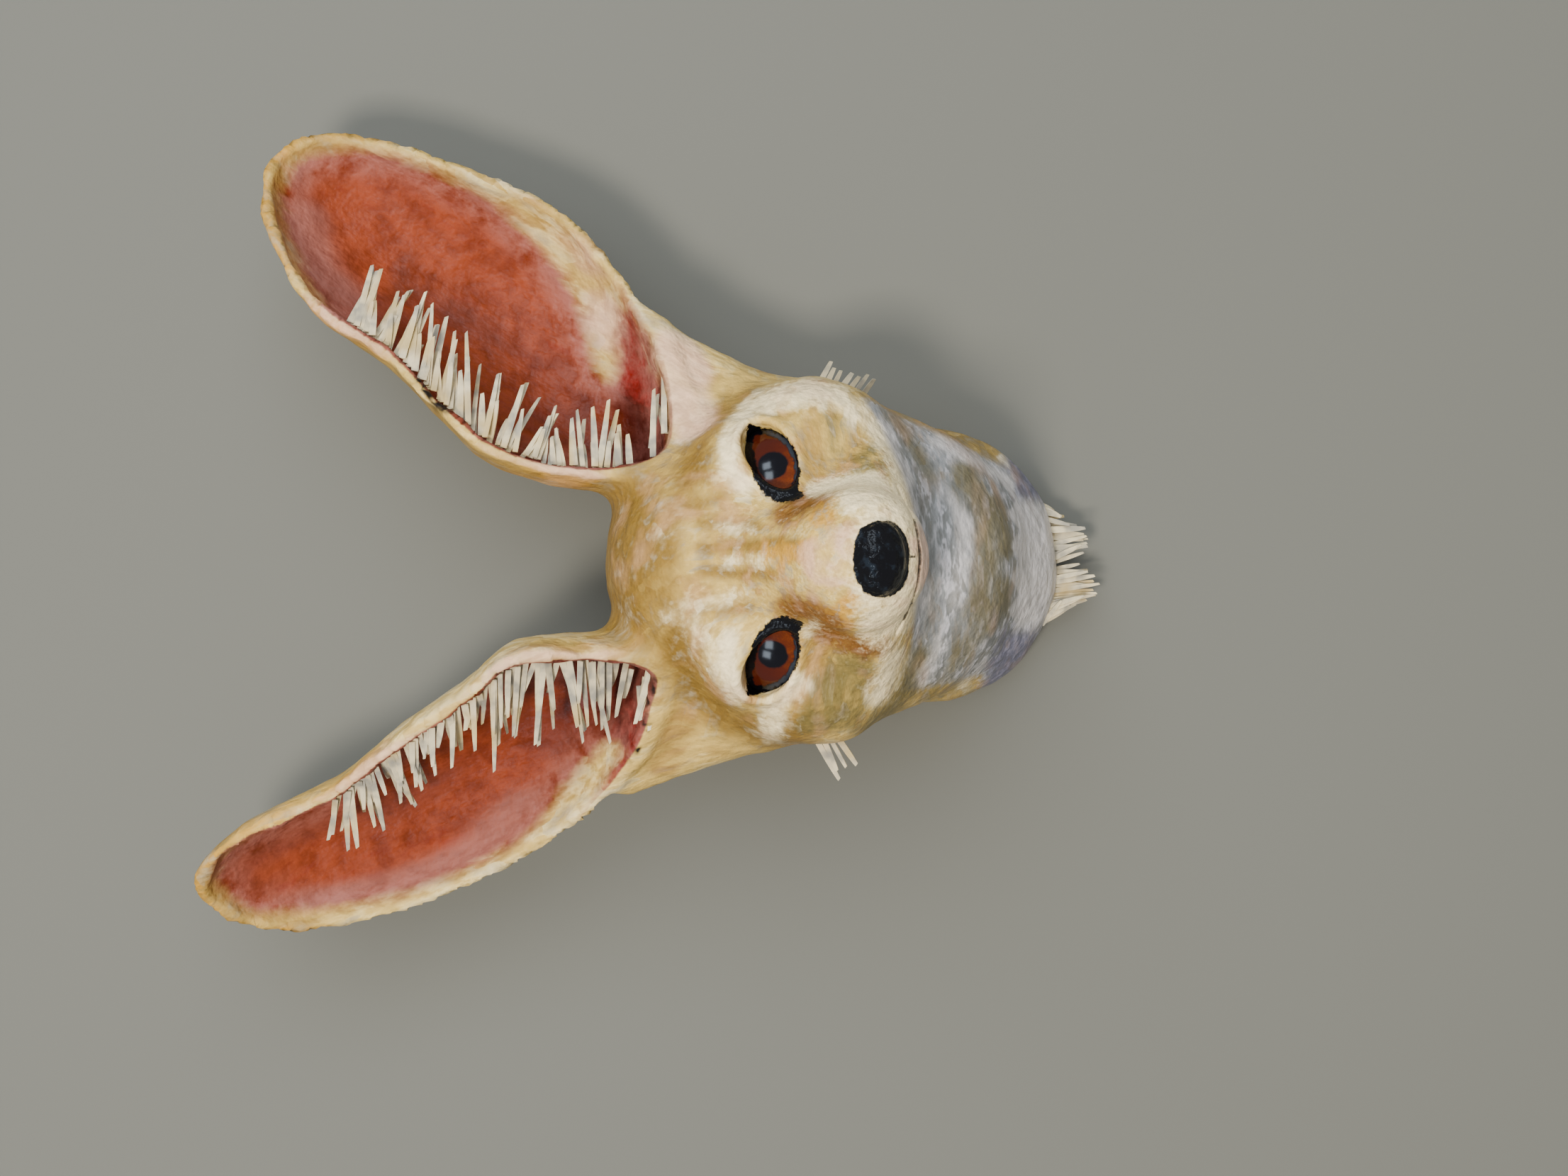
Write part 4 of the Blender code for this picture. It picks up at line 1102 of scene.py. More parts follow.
@dataclass
class EarFringe:
    """Strips along the inner rim of one ear, in clusters."""

    ear: Ear
    inset: float = 2.6
    under: float = 0.6
    spread: float = 0.10
    gather: float = 0.75
    filler_step: float = 5.5
    seed: int = 5

    def fillers(self) -> tuple[Cluster, ...]:
        """Shorter strips between the clusters, all along the row."""
        low = min(cluster.low for cluster in self.ear.clusters)
        high = max(cluster.high for cluster in self.ear.clusters)
        middles = np.array([(cluster.low + cluster.high) / 2.0 for cluster in self.ear.clusters])
        order = np.argsort(middles)
        fillers = []
        for start in np.arange(low, high - self.filler_step, self.filler_step):
            near = start + self.filler_step / 2.0
            reach = np.interp(near, middles[order], np.array([c.reach for c in self.ear.clusters])[order])
            lift = np.interp(near, middles[order], np.array([c.lift for c in self.ear.clusters])[order])
            fillers.append(Cluster(start, start + self.filler_step, 2, 0.55 * reach, 0.7 * lift))
        return tuple(fillers)

    def strips(self) -> PaperStrips:
        """Place every strip's root, way and curl along the rim."""
        chance = np.random.default_rng(self.seed)
        row = PaperStrips("ear_strips_" + self.ear.name, width=1.75, tip_share=0.5, seed=self.seed)
        side = self.ear.curve[self.ear.curve[:, 0] < 0.0]
        side = side[np.argsort(side[:, 1])]
        for cluster in self.ear.clusters + self.fillers():
            for index in range(cluster.count):
                share = (index + 0.5) / cluster.count
                up = cluster.low + (cluster.high - cluster.low) * share
                rim = np.interp(up, side[:, 1], side[:, 0]) + self.under
                reach = cluster.reach * chance.uniform(0.72, 1.06)
                lift = cluster.lift + (0.5 - share) * (cluster.high - cluster.low) * self.gather
                lift += cluster.reach * chance.uniform(-self.spread, self.spread)
                depth = self.inset + chance.uniform(-1.2, 1.8)
                root = self.ear.world(rim, up, depth)
                way = self.ear.across_way * reach + self.ear.up_way * lift
                way = way + self.ear.back_way * chance.uniform(-1.5, 2.5)
                normal = self.ear.back_way + self.ear.up_way * chance.uniform(-0.3, 0.3)
                row.add(root, way, normal, chance.uniform(-2.4, 2.0))
        return row


@dataclass
class CheekTuft:
    """Short bunch of strips that stands out from one cheek."""

    name: str
    side: float
    depth: float
    top: float
    bottom: float
    reach: float
    drop: float
    count: int = 7
    seed: int = 8

    def strips(self, skin: Skin) -> PaperStrips:
        """Place the strips where the cheek is."""
        chance = np.random.default_rng(self.seed)
        row = PaperStrips(self.name, width=1.7, seed=self.seed)
        for index in range(self.count):
            share = index / (self.count - 1)
            height = self.top + (self.bottom - self.top) * share
            point = np.array([[self.side * 75.0, self.depth + chance.uniform(-2.0, 2.0), height]])
            for _ in range(60):
                point[0, 0] -= self.side * np.clip(0.5 * skin.distance(point)[0], -0.5, 3.0)
            reach = self.reach * chance.uniform(0.7, 1.15)
            lean = chance.uniform(-2.0, 1.0)
            way = np.array((self.side * reach, lean, -self.drop * chance.uniform(0.6, 1.2)))
            row.add(point[0], way, (0.0, 1.0, 0.3 * self.side), chance.uniform(-0.8, 0.8))
        return row


@dataclass(frozen=True)
class ThroatFan:
    """One fan of strips under the neck."""

    low: float
    high: float
    count: int
    leans: tuple[float, ...]
    lengths: tuple[float, ...]


@dataclass
class ThroatFringe:
    """Two fans of strips under the neck's lower end."""

    fans: tuple[ThroatFan, ...] = (
        ThroatFan(-19.5, -1.8, 19, (6.5, 2.0, 1.0, 0.5), (7.0, 13.5, 15.0, 10.0)),
        ThroatFan(0.6, 18.5, 17, (3.0, 1.0, -0.5, -2.5), (9.0, 13.0, 10.0, 4.0)),
    )
    depth: float = -13.0
    seed: int = 12

    def strips(self, skin: Skin) -> PaperStrips:
        """Place the strips where the neck's end is."""
        chance = np.random.default_rng(self.seed)
        row = PaperStrips("throat_strips", width=1.75, tip_share=0.38, seed=self.seed)
        for fan in self.fans:
            for index in range(fan.count):
                share = index / (fan.count - 1)
                across = fan.low + (fan.high - fan.low) * share
                point = np.array([[across, self.depth + chance.uniform(-2.2, 1.6), -98.0]])
                for _ in range(60):
                    point[0, 2] += np.clip(0.5 * skin.distance(point)[0], -0.5, 3.0)
                steps = np.linspace(0.0, 1.0, len(fan.leans))
                lean = np.interp(share, steps, fan.leans) + chance.uniform(-1.4, 1.4)
                length = np.interp(share, steps, fan.lengths) * chance.uniform(0.78, 1.05)
                root = point[0] + (0.0, 0.0, 0.5)
                way = np.array((lean, chance.uniform(-3.5, -0.5), -length))
                row.add(root, way, (0.15 * chance.uniform(-1, 1), 1.0, 0.0), chance.uniform(-0.8, 1.2))
        return row


def soften(values: Numbers) -> Numbers:
    """Even the grid out a little, so that the thin rims polygonise cleanly."""
    for axis in range(3):
        padded = np.pad(values, [(1, 1) if other == axis else (0, 0) for other in range(3)], "edge")
        before = np.take(padded, range(0, values.shape[axis]), axis)
        after = np.take(padded, range(2, values.shape[axis] + 2), axis)
        values = values * 0.5 + before * 0.25 + after * 0.25
    return values


def close_pinches(values: Numbers) -> Numbers:
    """Fill grid points where the skin would touch itself along an edge or at a point."""
    for _ in range(5):
        inside = values < 0.0
        fill = np.zeros(values.shape, dtype=bool)
        for axis in range(3):
            turned = np.moveaxis(inside, axis, 0)
            filled = np.moveaxis(fill, axis, 0)
            corners = []
            for a, b in ((0, 0), (1, 0), (1, 1), (0, 1)):
                rows = slice(a, turned.shape[1] - 1 + a)
                columns = slice(b, turned.shape[2] - 1 + b)
                corners.append((slice(None), rows, columns))
            p, q, r, s = (turned[corner] for corner in corners)
            crossed = (p & r & ~q & ~s) | (~p & ~r & q & s)
            for corner in corners:
                filled[corner] |= crossed
        cells = []
        for corner in range(8):
            starts = (corner & 1, (corner >> 1) & 1, (corner >> 2) & 1)
            cells.append(tuple(slice(i, size - 1 + i) for i, size in zip(starts, inside.shape)))
        count = sum(inside[cell].astype(np.int8) for cell in cells)
        for corner in range(4):
            first = inside[cells[corner]]
            second = inside[cells[7 - corner]]
            crossed = (first & second & (count == 2)) | (~first & ~second & (count == 6))
            for cell in cells:
                fill[cell] |= crossed
        fill &= ~inside
        if not fill.any():
            break
        values = np.where(fill, -0.05, values)
    return values


def surface_net(values: Numbers, low: Points, step: float) -> tuple[Points, Points]:
    """Turn a grid of distances into points and four-sided faces, facing outward.

    Args:
        values: The distances.
        low: Place of the grid's first point.
        step: The grid's spacing.

    Returns:
        The points and the faces.
    """
    inside = values < 0.0
    nx, ny, nz = (size - 1 for size in values.shape)
    corners = []
    for corner in range(8):
        i, j, k = corner & 1, (corner >> 1) & 1, (corner >> 2) & 1
        corners.append((slice(i, nx + i), slice(j, ny + j), slice(k, nz + k)))
    count = sum(inside[corner].astype(np.int8) for corner in corners)
    cells = np.argwhere((count > 0) & (count < 8))
    number = np.full((nx, ny, nz), -1, dtype=np.int64)
    number[tuple(cells.T)] = np.arange(len(cells))
    offsets = np.array([[corner & 1, (corner >> 1) & 1, (corner >> 2) & 1] for corner in range(8)])
    heights = [values[tuple((cells + offset).T)] for offset in offsets]
    total = np.zeros((len(cells), 3))
    hits = np.zeros(len(cells))
    for first in range(8):
        for bit in (1, 2, 4):
            second = first | bit
            if second == first:
                continue
            a, b = heights[first], heights[second]
            crossing = (a < 0.0) != (b < 0.0)
            share = np.where(crossing, a / np.where(crossing, a - b, 1.0), 0.0)
            way = offsets[bit].astype(float)
            total += np.where(crossing[:, None], offsets[first] + share[:, None] * way, 0.0)
            hits += crossing
    points = low + step * (cells + total / hits[:, None])
    faces = []
    for axis in range(3):
        other, third = (axis + 1) % 3, (axis + 2) % 3
        lower = [slice(1, size) for size in (nx, ny, nz)]
        upper = [slice(1, size) for size in (nx, ny, nz)]
        lower[axis] = slice(0, (nx, ny, nz)[axis])
        upper[axis] = slice(1, (nx, ny, nz)[axis] + 1)
        base = np.argwhere(inside[tuple(lower)] != inside[tuple(upper)])
        shift = np.ones(3, dtype=int)
        shift[axis] = 0
        base = base + shift
        leaves = inside[tuple(base.T)]
        quad = []
        for a, b in ((-1, -1), (0, -1), (0, 0), (-1, 0)):
            cell = base.copy()
            cell[:, other] += a
            cell[:, third] += b
            quad.append(number[tuple(cell.T)])
        quads = np.stack(quad, axis=1)
        quads[~leaves] = quads[~leaves][:, ::-1]
        faces.append(quads)
    return points, np.concatenate(faces)


def make_object(
    name: str, points: Points, faces: Sequence, materials: Sequence[bpy.types.Material]
) -> bpy.types.Object:
    """Make a mesh object from points in millimetres.

    Args:
        name: The object's name.
        points: Its points.
        faces: Its faces, as lists of point numbers.
        materials: Its materials.

    Returns:
        The object, linked to the scene.
    """
    mesh = bpy.data.meshes.new(name)
    mesh.from_pydata((np.asarray(points) * MM).tolist(), [], [list(face) for face in faces])
    for material in materials:
        mesh.materials.append(material)
    thing = bpy.data.objects.new(name, mesh)
    bpy.context.scene.collection.objects.link(thing)
    return thing


def read_points(thing: bpy.types.Object) -> Points:
    """The mesh's points in metres."""
    flat = np.empty(len(thing.data.vertices) * 3, dtype=np.float32)
    thing.data.vertices.foreach_get("co", flat)
    return flat.reshape(-1, 3).astype(float)


def write_points(thing: bpy.types.Object, points: Points) -> None:
    """Move the mesh's points, given in metres."""
    thing.data.vertices.foreach_set("co", points.astype(np.float32).ravel())
    thing.data.update()


def add_vectors(thing: bpy.types.Object, name: str, values: Points) -> None:
    """Store three numbers a point on the mesh, under a name that materials read."""
    layer = thing.data.attributes.new(name, "FLOAT_VECTOR", "POINT")
    layer.data.foreach_set("vector", values.astype(np.float32).ravel())


def face_outward(thing: bpy.types.Object) -> None:
    """Turn every face of a closed mesh outward."""
    work = bmesh.new()
    work.from_mesh(thing.data)
    bmesh.ops.recalc_face_normals(work, faces=work.faces[:])
    work.to_mesh(thing.data)
    work.free()


def flatten_back(thing: bpy.types.Object) -> None:
    """Cut the skin on the wall plane and close it with one flat face."""
    work = bmesh.new()
    work.from_mesh(thing.data)
    around = work.verts[:] + work.edges[:] + work.faces[:]
    bmesh.ops.bisect_plane(
        work, geom=around, dist=1e-9, plane_co=(0, 0, 0), plane_no=(0, 1, 0), clear_outer=True
    )
    rim = [edge for edge in work.edges if edge.is_boundary]
    filled = bmesh.ops.holes_fill(work, edges=rim, sides=0)["faces"]
    bmesh.ops.triangulate(work, faces=filled)
    work.to_mesh(thing.data)
    work.free()


class TreeBuilder:
    """Short way to add nodes and links to one tree."""

    def __init__(self, tree: bpy.types.NodeTree) -> None:
        """Keep the tree that is built."""
        self.tree = tree

    def node(self, kind: str, values: Optional[dict] = None) -> bpy.types.Node:
        """Add a node and set or link its inputs.

        Args:
            kind: The node's type name.
            values: A value or an output socket for each input name or number.

        Returns:
            The node.
        """
        node = self.tree.nodes.new(kind)
        for key, value in (values or {}).items():
            self.give(node.inputs[key], value)
        return node

    def give(self, socket: bpy.types.NodeSocket, value: object) -> None:
        """Link an output socket to an input, or set the input's own value."""
        if isinstance(value, bpy.types.NodeSocket):
            self.tree.links.new(value, socket)
        else:
            socket.default_value = value

    def link(self, start: bpy.types.NodeSocket, end: bpy.types.NodeSocket) -> None:
        """Link two sockets."""
        self.tree.links.new(start, end)

    def math(self, operation: str, *values: object) -> bpy.types.NodeSocket:
        """Add a Math node and return its output."""
        node = self.tree.nodes.new("ShaderNodeMath")
        node.operation = operation
        for socket, value in zip(node.inputs, values):
            self.give(socket, value)
        return node.outputs[0]

    def attribute(self, name: str, kind: str) -> bpy.types.NodeSocket:
        """Read a named attribute in a geometry tree.

        Args:
            name: The attribute.
            kind: Its data type.

        Returns:
            The value's socket.
        """
        node = self.tree.nodes.new("GeometryNodeInputNamedAttribute")
        node.data_type = kind
        node.inputs["Name"].default_value = name
        return node.outputs[0]

    def read(self, name: str) -> bpy.types.NodeSocket:
        """Read an attribute's three numbers in a material."""
        node = self.tree.nodes.new("ShaderNodeAttribute")
        node.attribute_name = name
        return node.outputs["Vector"]

    def parts(self, vector: bpy.types.NodeSocket) -> tuple[bpy.types.NodeSocket, ...]:
        """Split a vector into its three numbers."""
        return tuple(self.node("ShaderNodeSeparateXYZ", {0: vector}).outputs)

    def span(self, value: object, start: float, end: float) -> bpy.types.NodeSocket:
        """Smooth step of a value from 0 at start to 1 at end."""
        node = self.node("ShaderNodeMapRange", {"Value": value, "From Min": start, "From Max": end})
        node.interpolation_type = "SMOOTHSTEP"
        return node.outputs[0]

    def mix(self, share: object, first: object, second: object, blend: str = "MIX") -> bpy.types.NodeSocket:
        """Mix two colours.

        Args:
            share: How much of the second.
            first: The first colour.
            second: The second colour.
            blend: The way to mix them.

        Returns:
            The mixed colour's socket.
        """
        node = self.tree.nodes.new("ShaderNodeMix")
        node.data_type = "RGBA"
        node.blend_type = blend
        self.give(node.inputs[0], share)
        self.give(node.inputs[6], first)
        self.give(node.inputs[7], second)
        return node.outputs[2]

    def between(self, share: object, first: object, second: object) -> bpy.types.NodeSocket:
        """Mix two numbers."""
        node = self.node("ShaderNodeMix", {0: share, 2: first, 3: second})
        return node.outputs[0]

    def noise(
        self, vector: object, scale: float, detail: float = 2.0, rough: float = 0.5
    ) -> bpy.types.NodeSocket:
        """Noise value at a vector.

        Args:
            vector: Where to read it.
            scale: How many lumps a metre.
            detail: Octaves.
            rough: Share of the finer octaves.

        Returns:
            The value's socket.
        """
        node = self.node("ShaderNodeTexNoise", {"Vector": vector, "Scale": scale})
        node.inputs["Detail"].default_value = detail
        node.inputs["Roughness"].default_value = rough
        return node.outputs[0]


def brush_group() -> bpy.types.NodeTree:
    """Group that gives a brush's marks at three sizes, and their relief."""
    tree = bpy.data.node_groups.new("brush_marks", "ShaderNodeTree")
    tree.interface.new_socket("Vector", in_out="INPUT", socket_type="NodeSocketVector")
    tree.interface.new_socket("Width", in_out="INPUT", socket_type="NodeSocketFloat")
    for name in ("Fine", "Medium", "Broad", "Relief"):
        tree.interface.new_socket(name, in_out="OUTPUT", socket_type="NodeSocketFloat")
    build = TreeBuilder(tree)
    given = build.node("NodeGroupInput")
    scaled = build.node("ShaderNodeVectorMath", {0: given.outputs["Vector"]})
    scaled.operation = "SCALE"
    build.link(build.math("DIVIDE", 1.0, given.outputs["Width"]), scaled.inputs["Scale"])
    vector = scaled.outputs[0]
    final = build.node("NodeGroupOutput")
    bend = build.node("ShaderNodeTexNoise", {"Vector": vector, "Scale": 0.3})
    shift = build.node("ShaderNodeVectorMath", {0: bend.outputs["Color"], 1: (0.5, 0.5, 0.5)})
    shift.operation = "SUBTRACT"
    moved = build.node("ShaderNodeVectorMath", {0: shift.outputs[0], 1: (2.6, 2.6, 2.6), 2: vector})
    moved.operation = "MULTIPLY_ADD"
    dabs = build.node("ShaderNodeTexVoronoi", {"Vector": moved.outputs[0], "Scale": 0.42})
    cell = build.parts(dabs.outputs["Color"])[0]
    fine = build.noise(vector, 1.05, 2.0, 0.6)
    medium = build.noise(vector, 0.42, 2.0, 0.55)
    broad = build.noise(vector, 0.16, 2.0, 0.5)
    spread = [build.span(value, 0.28, 0.72) for value in (fine, medium, broad)]
    mixed = build.math("MULTIPLY_ADD", cell, 0.42, build.math("MULTIPLY", spread[1], 0.34))
    mixed = build.math("MULTIPLY_ADD", spread[0], 0.24, mixed)
    for socket, value in zip(final.inputs, (spread[0], mixed, spread[2])):
        build.link(value, socket)
    ridge = build.span(dabs.outputs["Distance"], 0.1, 0.75)
    relief = build.math("MULTIPLY_ADD", fine, 0.7, build.math("MULTIPLY", ridge, 0.25))
    build.link(relief, final.inputs["Relief"])
    return tree


def layer_group() -> bpy.types.NodeTree:
    """Group that lays one paint over another where a mask and the brush's marks let it."""
    tree = bpy.data.node_groups.new("brushed_layer", "ShaderNodeTree")
    face = tree.interface
    face.new_socket("Under", in_out="INPUT", socket_type="NodeSocketColor")
    face.new_socket("Paint", in_out="INPUT", socket_type="NodeSocketColor")
    for name in ("Mask", "Marks", "Raggedness", "Softness", "Cover"):
        face.new_socket(name, in_out="INPUT", socket_type="NodeSocketFloat")
    face.new_socket("Colour", in_out="OUTPUT", socket_type="NodeSocketColor")
    build = TreeBuilder(tree)
    given = build.node("NodeGroupInput")
    centred = build.math("SUBTRACT", given.outputs["Marks"], 0.5)
    ragged = build.math("MULTIPLY", centred, given.outputs["Raggedness"])
    level = build.math("ADD", given.outputs["Mask"], ragged)
    from_level = build.math("SUBTRACT", 0.5, given.outputs["Softness"])
    to_level = build.math("ADD", 0.5, given.outputs["Softness"])
    step = build.node("ShaderNodeMapRange", {"Value": level, "From Min": from_level, "From Max": to_level})
    step.interpolation_type = "SMOOTHSTEP"
    share = build.math("MULTIPLY", step.outputs[0], given.outputs["Cover"])
    final = build.node("NodeGroupOutput")
    build.link(build.mix(share, given.outputs["Under"], given.outputs["Paint"]), final.inputs[0])
    return tree


Colour = tuple[float, float, float, float]


def rgb(red: float, green: float, blue: float) -> Colour:
    """A linear colour with full alpha."""
    return (red, green, blue, 1.0)


@dataclass(frozen=True)
class PaintedPaper:
    """Acrylic paint brushed over papier-mache."""

    cream: Colour = rgb(0.58, 0.39, 0.105)
    pale_cream: Colour = rgb(0.80, 0.61, 0.25)
    sand: Colour = rgb(0.36, 0.21, 0.045)
    ochre: Colour = rgb(0.20, 0.108, 0.014)
    tan: Colour = rgb(0.32, 0.18, 0.035)
    rust: Colour = rgb(0.17, 0.056, 0.006)
    yellow: Colour = rgb(0.55, 0.27, 0.025)
    white: Colour = rgb(0.95, 0.78, 0.45)
    lilac: Colour = rgb(0.55, 0.53, 0.55)
    pink: Colour = rgb(0.74, 0.46, 0.31)
    olive: Colour = rgb(0.135, 0.105, 0.030)
    slate: Colour = rgb(0.14, 0.14, 0.12)
    violet: Colour = rgb(0.095, 0.09, 0.165)
    neck: Colour = rgb(0.35, 0.355, 0.36)
    red: Colour = rgb(0.155, 0.022, 0.004)
    bright_red: Colour = rgb(0.255, 0.042, 0.012)
    # Dark red of flecks in the lining, and of the painted shade in its hollow.
    deep_red: Colour = rgb(0.050, 0.003, 0.001)
    crimson: Colour = rgb(0.19, 0.009, 0.006)
    mauve: Colour = rgb(0.30, 0.115, 0.09)
    black: Colour = rgb(0.002, 0.002, 0.003)
    # Painted sheen: bluish tone laid in patches over the black nose.
    nose_blue_sheen: Colour = rgb(0.008, 0.012, 0.018)
    # Dark of the mouth line, and of the painted shade in the ear creases.
    crease: Colour = rgb(0.010, 0.006, 0.004)
    roughness: float = 0.44
    specular: float = 0.32
    relief_strength: float = 1.0
    relief_depth: float = 0.0006

    def build(self) -> bpy.types.Material:
        """Make the material that reads the skin's paint masks."""
        material = new_material("painted_paper")
        build = TreeBuilder(material.node_tree)
        shader = material.node_tree.nodes["Principled BSDF"]
        brush = brush_group()
        on_neck, on_ear, _ = build.parts(build.read("stroke_share"))
        sets = []
        for name, width in (("stroke_face", 0.0016), ("stroke_neck", 0.0017), ("stroke_ear", 0.0019)):
            marks = build.node("ShaderNodeGroup")
            marks.node_tree = brush
            build.link(build.read(name), marks.inputs["Vector"])
            marks.inputs["Width"].default_value = width
            sets.append(marks.outputs)
        chosen = []
        for face, low, ear in zip(*sets):
            chosen.append(build.between(on_ear, build.between(on_neck, face, low), ear))
        fine, medium, broad, relief = chosen
        place = build.node("ShaderNodeTexCoord").outputs["Object"]
        patch = build.span(build.noise(place, 95.0, 3.0, 0.6), 0.38, 0.62)
        colour = build.mix(build.math("MULTIPLY", build.span(broad, 0.35, 0.9), 0.8), self.cream, self.sand)
        patchy = build.math("MULTIPLY_ADD", patch, 0.6, 0.35)
        light = build.math("MULTIPLY", build.span(medium, 0.42, 0.72), patchy)
        colour = build.mix(light, colour, self.pale_cream)
        group = layer_group()
        ochre, rust, yellow = build.parts(build.read("warm_tones"))
        white, pink, tan = build.parts(build.read("pale_tones"))
        olive, slate, violet = build.parts(build.read("dark_tones"))
        neck, crimson, crease = build.parts(build.read("ground_tones"))
        pale = build.mix(build.math("MULTIPLY", neck, 0.85), self.white, self.lilac)
        layers = (
            (self.tan, tan, medium, 1.0, 0.40, 0.85),
            (self.ochre, ochre, medium, 0.75, 0.55, 0.95),
            (self.yellow, yellow, broad, 0.8, 0.42, 0.8),
            (self.slate, slate, medium, 1.1, 0.42, 0.8),
            (self.olive, olive, medium, 1.1, 0.52, 0.88),
            (self.violet, violet, medium, 0.8, 0.40, 0.75),
            (self.rust, rust, medium, 0.7, 0.44, 0.9),
            (pale, white, medium, 0.72, 0.50, 1.0),
            (self.pink, pink, broad, 0.8, 0.42, 0.75),
        )
        colour = self.lay(build, group, colour, self.neck, neck, medium, 0.8, 0.40, 1.0)
        dark = build.math("MULTIPLY", neck, build.span(medium, 0.55, 0.30))
        colour = build.mix(build.math("MULTIPLY", dark, 0.6), colour, self.slate)
        light = build.math("MULTIPLY", neck, build.span(fine, 0.50, 0.85))
        colour = build.mix(build.math("MULTIPLY", light, 0.8), colour, self.lilac)
        for paint, mask, edge, ragged, softness, cover in layers:
            colour = self.lay(build, group, colour, paint, mask, edge, ragged, softness, cover)
        lining, deep, streak = build.parts(build.read("ear_tones"))
        tones = (lining, deep, streak, crimson, crease)
        colour = self.line_ears(build, group, colour, tones, (fine, medium, broad), place)
        shade = build.math("MULTIPLY_ADD", fine, 0.22, 0.89)
        shaded = build.node("ShaderNodeCombineColor", {0: shade, 1: shade, 2: shade}).outputs[0]
        colour = build.mix(1.0, colour, shaded, "MULTIPLY")
        nose, eye, mouth = build.parts(build.read("edges"))
        colour, black = self.draw_lines(build, colour, (nose, eye, mouth), fine, medium, place)
        build.link(colour, shader.inputs["Base Color"])
        rough = build.math("MULTIPLY_ADD", medium, 0.16, self.roughness - 0.08)
        glossy = build.math("MULTIPLY", black, -0.26)
        build.link(build.math("ADD", rough, glossy), shader.inputs["Roughness"])
        shader.inputs["Specular IOR Level"].default_value = self.specular
        grain = build.noise(place, 900.0, 3.0, 0.6)
        lump = build.noise(place, 240.0, 2.0, 0.5)
        height = build.math("MULTIPLY_ADD", relief, 0.6, build.math("MULTIPLY", grain, 0.25))
        height = build.math("MULTIPLY_ADD", lump, 1.7, height)
        bump = build.node("ShaderNodeBump", {"Strength": self.relief_strength, "Height": height})
        bump.inputs["Distance"].default_value = self.relief_depth
        build.link(bump.outputs[0], shader.inputs["Normal"])
        return material

    def lay(
        self,
        build: TreeBuilder,
        group: bpy.types.NodeTree,
        under: object,
        paint: object,
        mask: bpy.types.NodeSocket,
        brush: bpy.types.NodeSocket,
        ragged: float,
        softness: float,
        cover: float,
    ) -> bpy.types.NodeSocket:
        """Lay one paint over the colour below it.

        Args:
            build: The material's tree.
            group: The layer's node group.
            under: The colour below.
            paint: The paint.
            mask: Where it lies.
            brush: The marks that break its edge.
            ragged: How far they break it.
            softness: Half the width of the edge.
            cover: How well the paint hides what is below.

        Returns:
            The colour's socket.
        """
        node = build.node("ShaderNodeGroup")
        node.node_tree = group
        values = (under, paint, mask, brush, ragged, softness, cover)
        for socket, value in zip(node.inputs, values):
            build.give(socket, value)
        return node.outputs[0]

    def line_ears(
        self,
        build: TreeBuilder,
        group: bpy.types.NodeTree,
        colour: bpy.types.NodeSocket,
        tones: tuple[bpy.types.NodeSocket, ...],
        brushes: tuple[bpy.types.NodeSocket, ...],
        place: bpy.types.NodeSocket,
    ) -> bpy.types.NodeSocket:
        """Paint the red lining of the ears and the painted shade in their creases.

        Args:
            build: The material's tree.
            group: The layer's node group.
            colour: The colour below.
            tones: Distance to the lining's edge, deep red (painted shade in the hollow), mauve streaks,
                crimson and the painted shade of the creases.
            brushes: Fine, medium and broad marks.
            place: Object coordinates.

        Returns:
            The colour's socket.
        """
        lining, deep, streak, crimson, crease = tones
        fine, medium, broad = brushes
        inner, _, height = build.parts(build.read("ear_edges"))
        cloud = build.noise(place, 120.0, 4.0, 0.65)
        red = build.mix(build.span(cloud, 0.33, 0.62), self.red, self.bright_red)
        red = build.mix(build.math("MULTIPLY", build.span(fine, 0.5, 1.0), 0.25), red, self.deep_red)
        # Painted shade: deep red in the pocket and low on the inner side of the hollow.
        red = self.lay(build, group, red, self.deep_red, deep, broad, 0.6, 0.55, 0.9)
        red = self.lay(build, group, red, self.crimson, crimson, medium, 0.8, 0.35, 0.9)
        red = self.lay(build, group, red, self.mauve, streak, broad, 0.5, 0.6, 0.6)
        soft = build.math("MULTIPLY", build.span(lining, -0.014, -0.001), build.span(cloud, 0.3, 0.62))
        red = build.mix(build.math("MULTIPLY", soft, 0.8), red, self.mauve)
        edge = build.math("MULTIPLY_ADD", build.math("SUBTRACT", medium, 0.5), 0.0040, lining)
        inside = build.span(inner, 0.0003, -0.0003)
        share = build.math("MULTIPLY", build.span(edge, 0.0034, -0.0040), inside)
        colour = build.mix(share, colour, red)
        # Painted shade: a dark broken line along the hollow's edge where the ear creases or splits.
        crease_shade = build.span(build.math("ABSOLUTE", inner), 0.0018, 0.0008)
        broken = build.span(build.noise(place, 150.0, 2.0, 0.5), 0.42, 0.55)
        crease_shade = build.math("MULTIPLY", build.math("MULTIPLY", crease_shade, broken), crease)
        return build.mix(crease_shade, colour, self.crease)

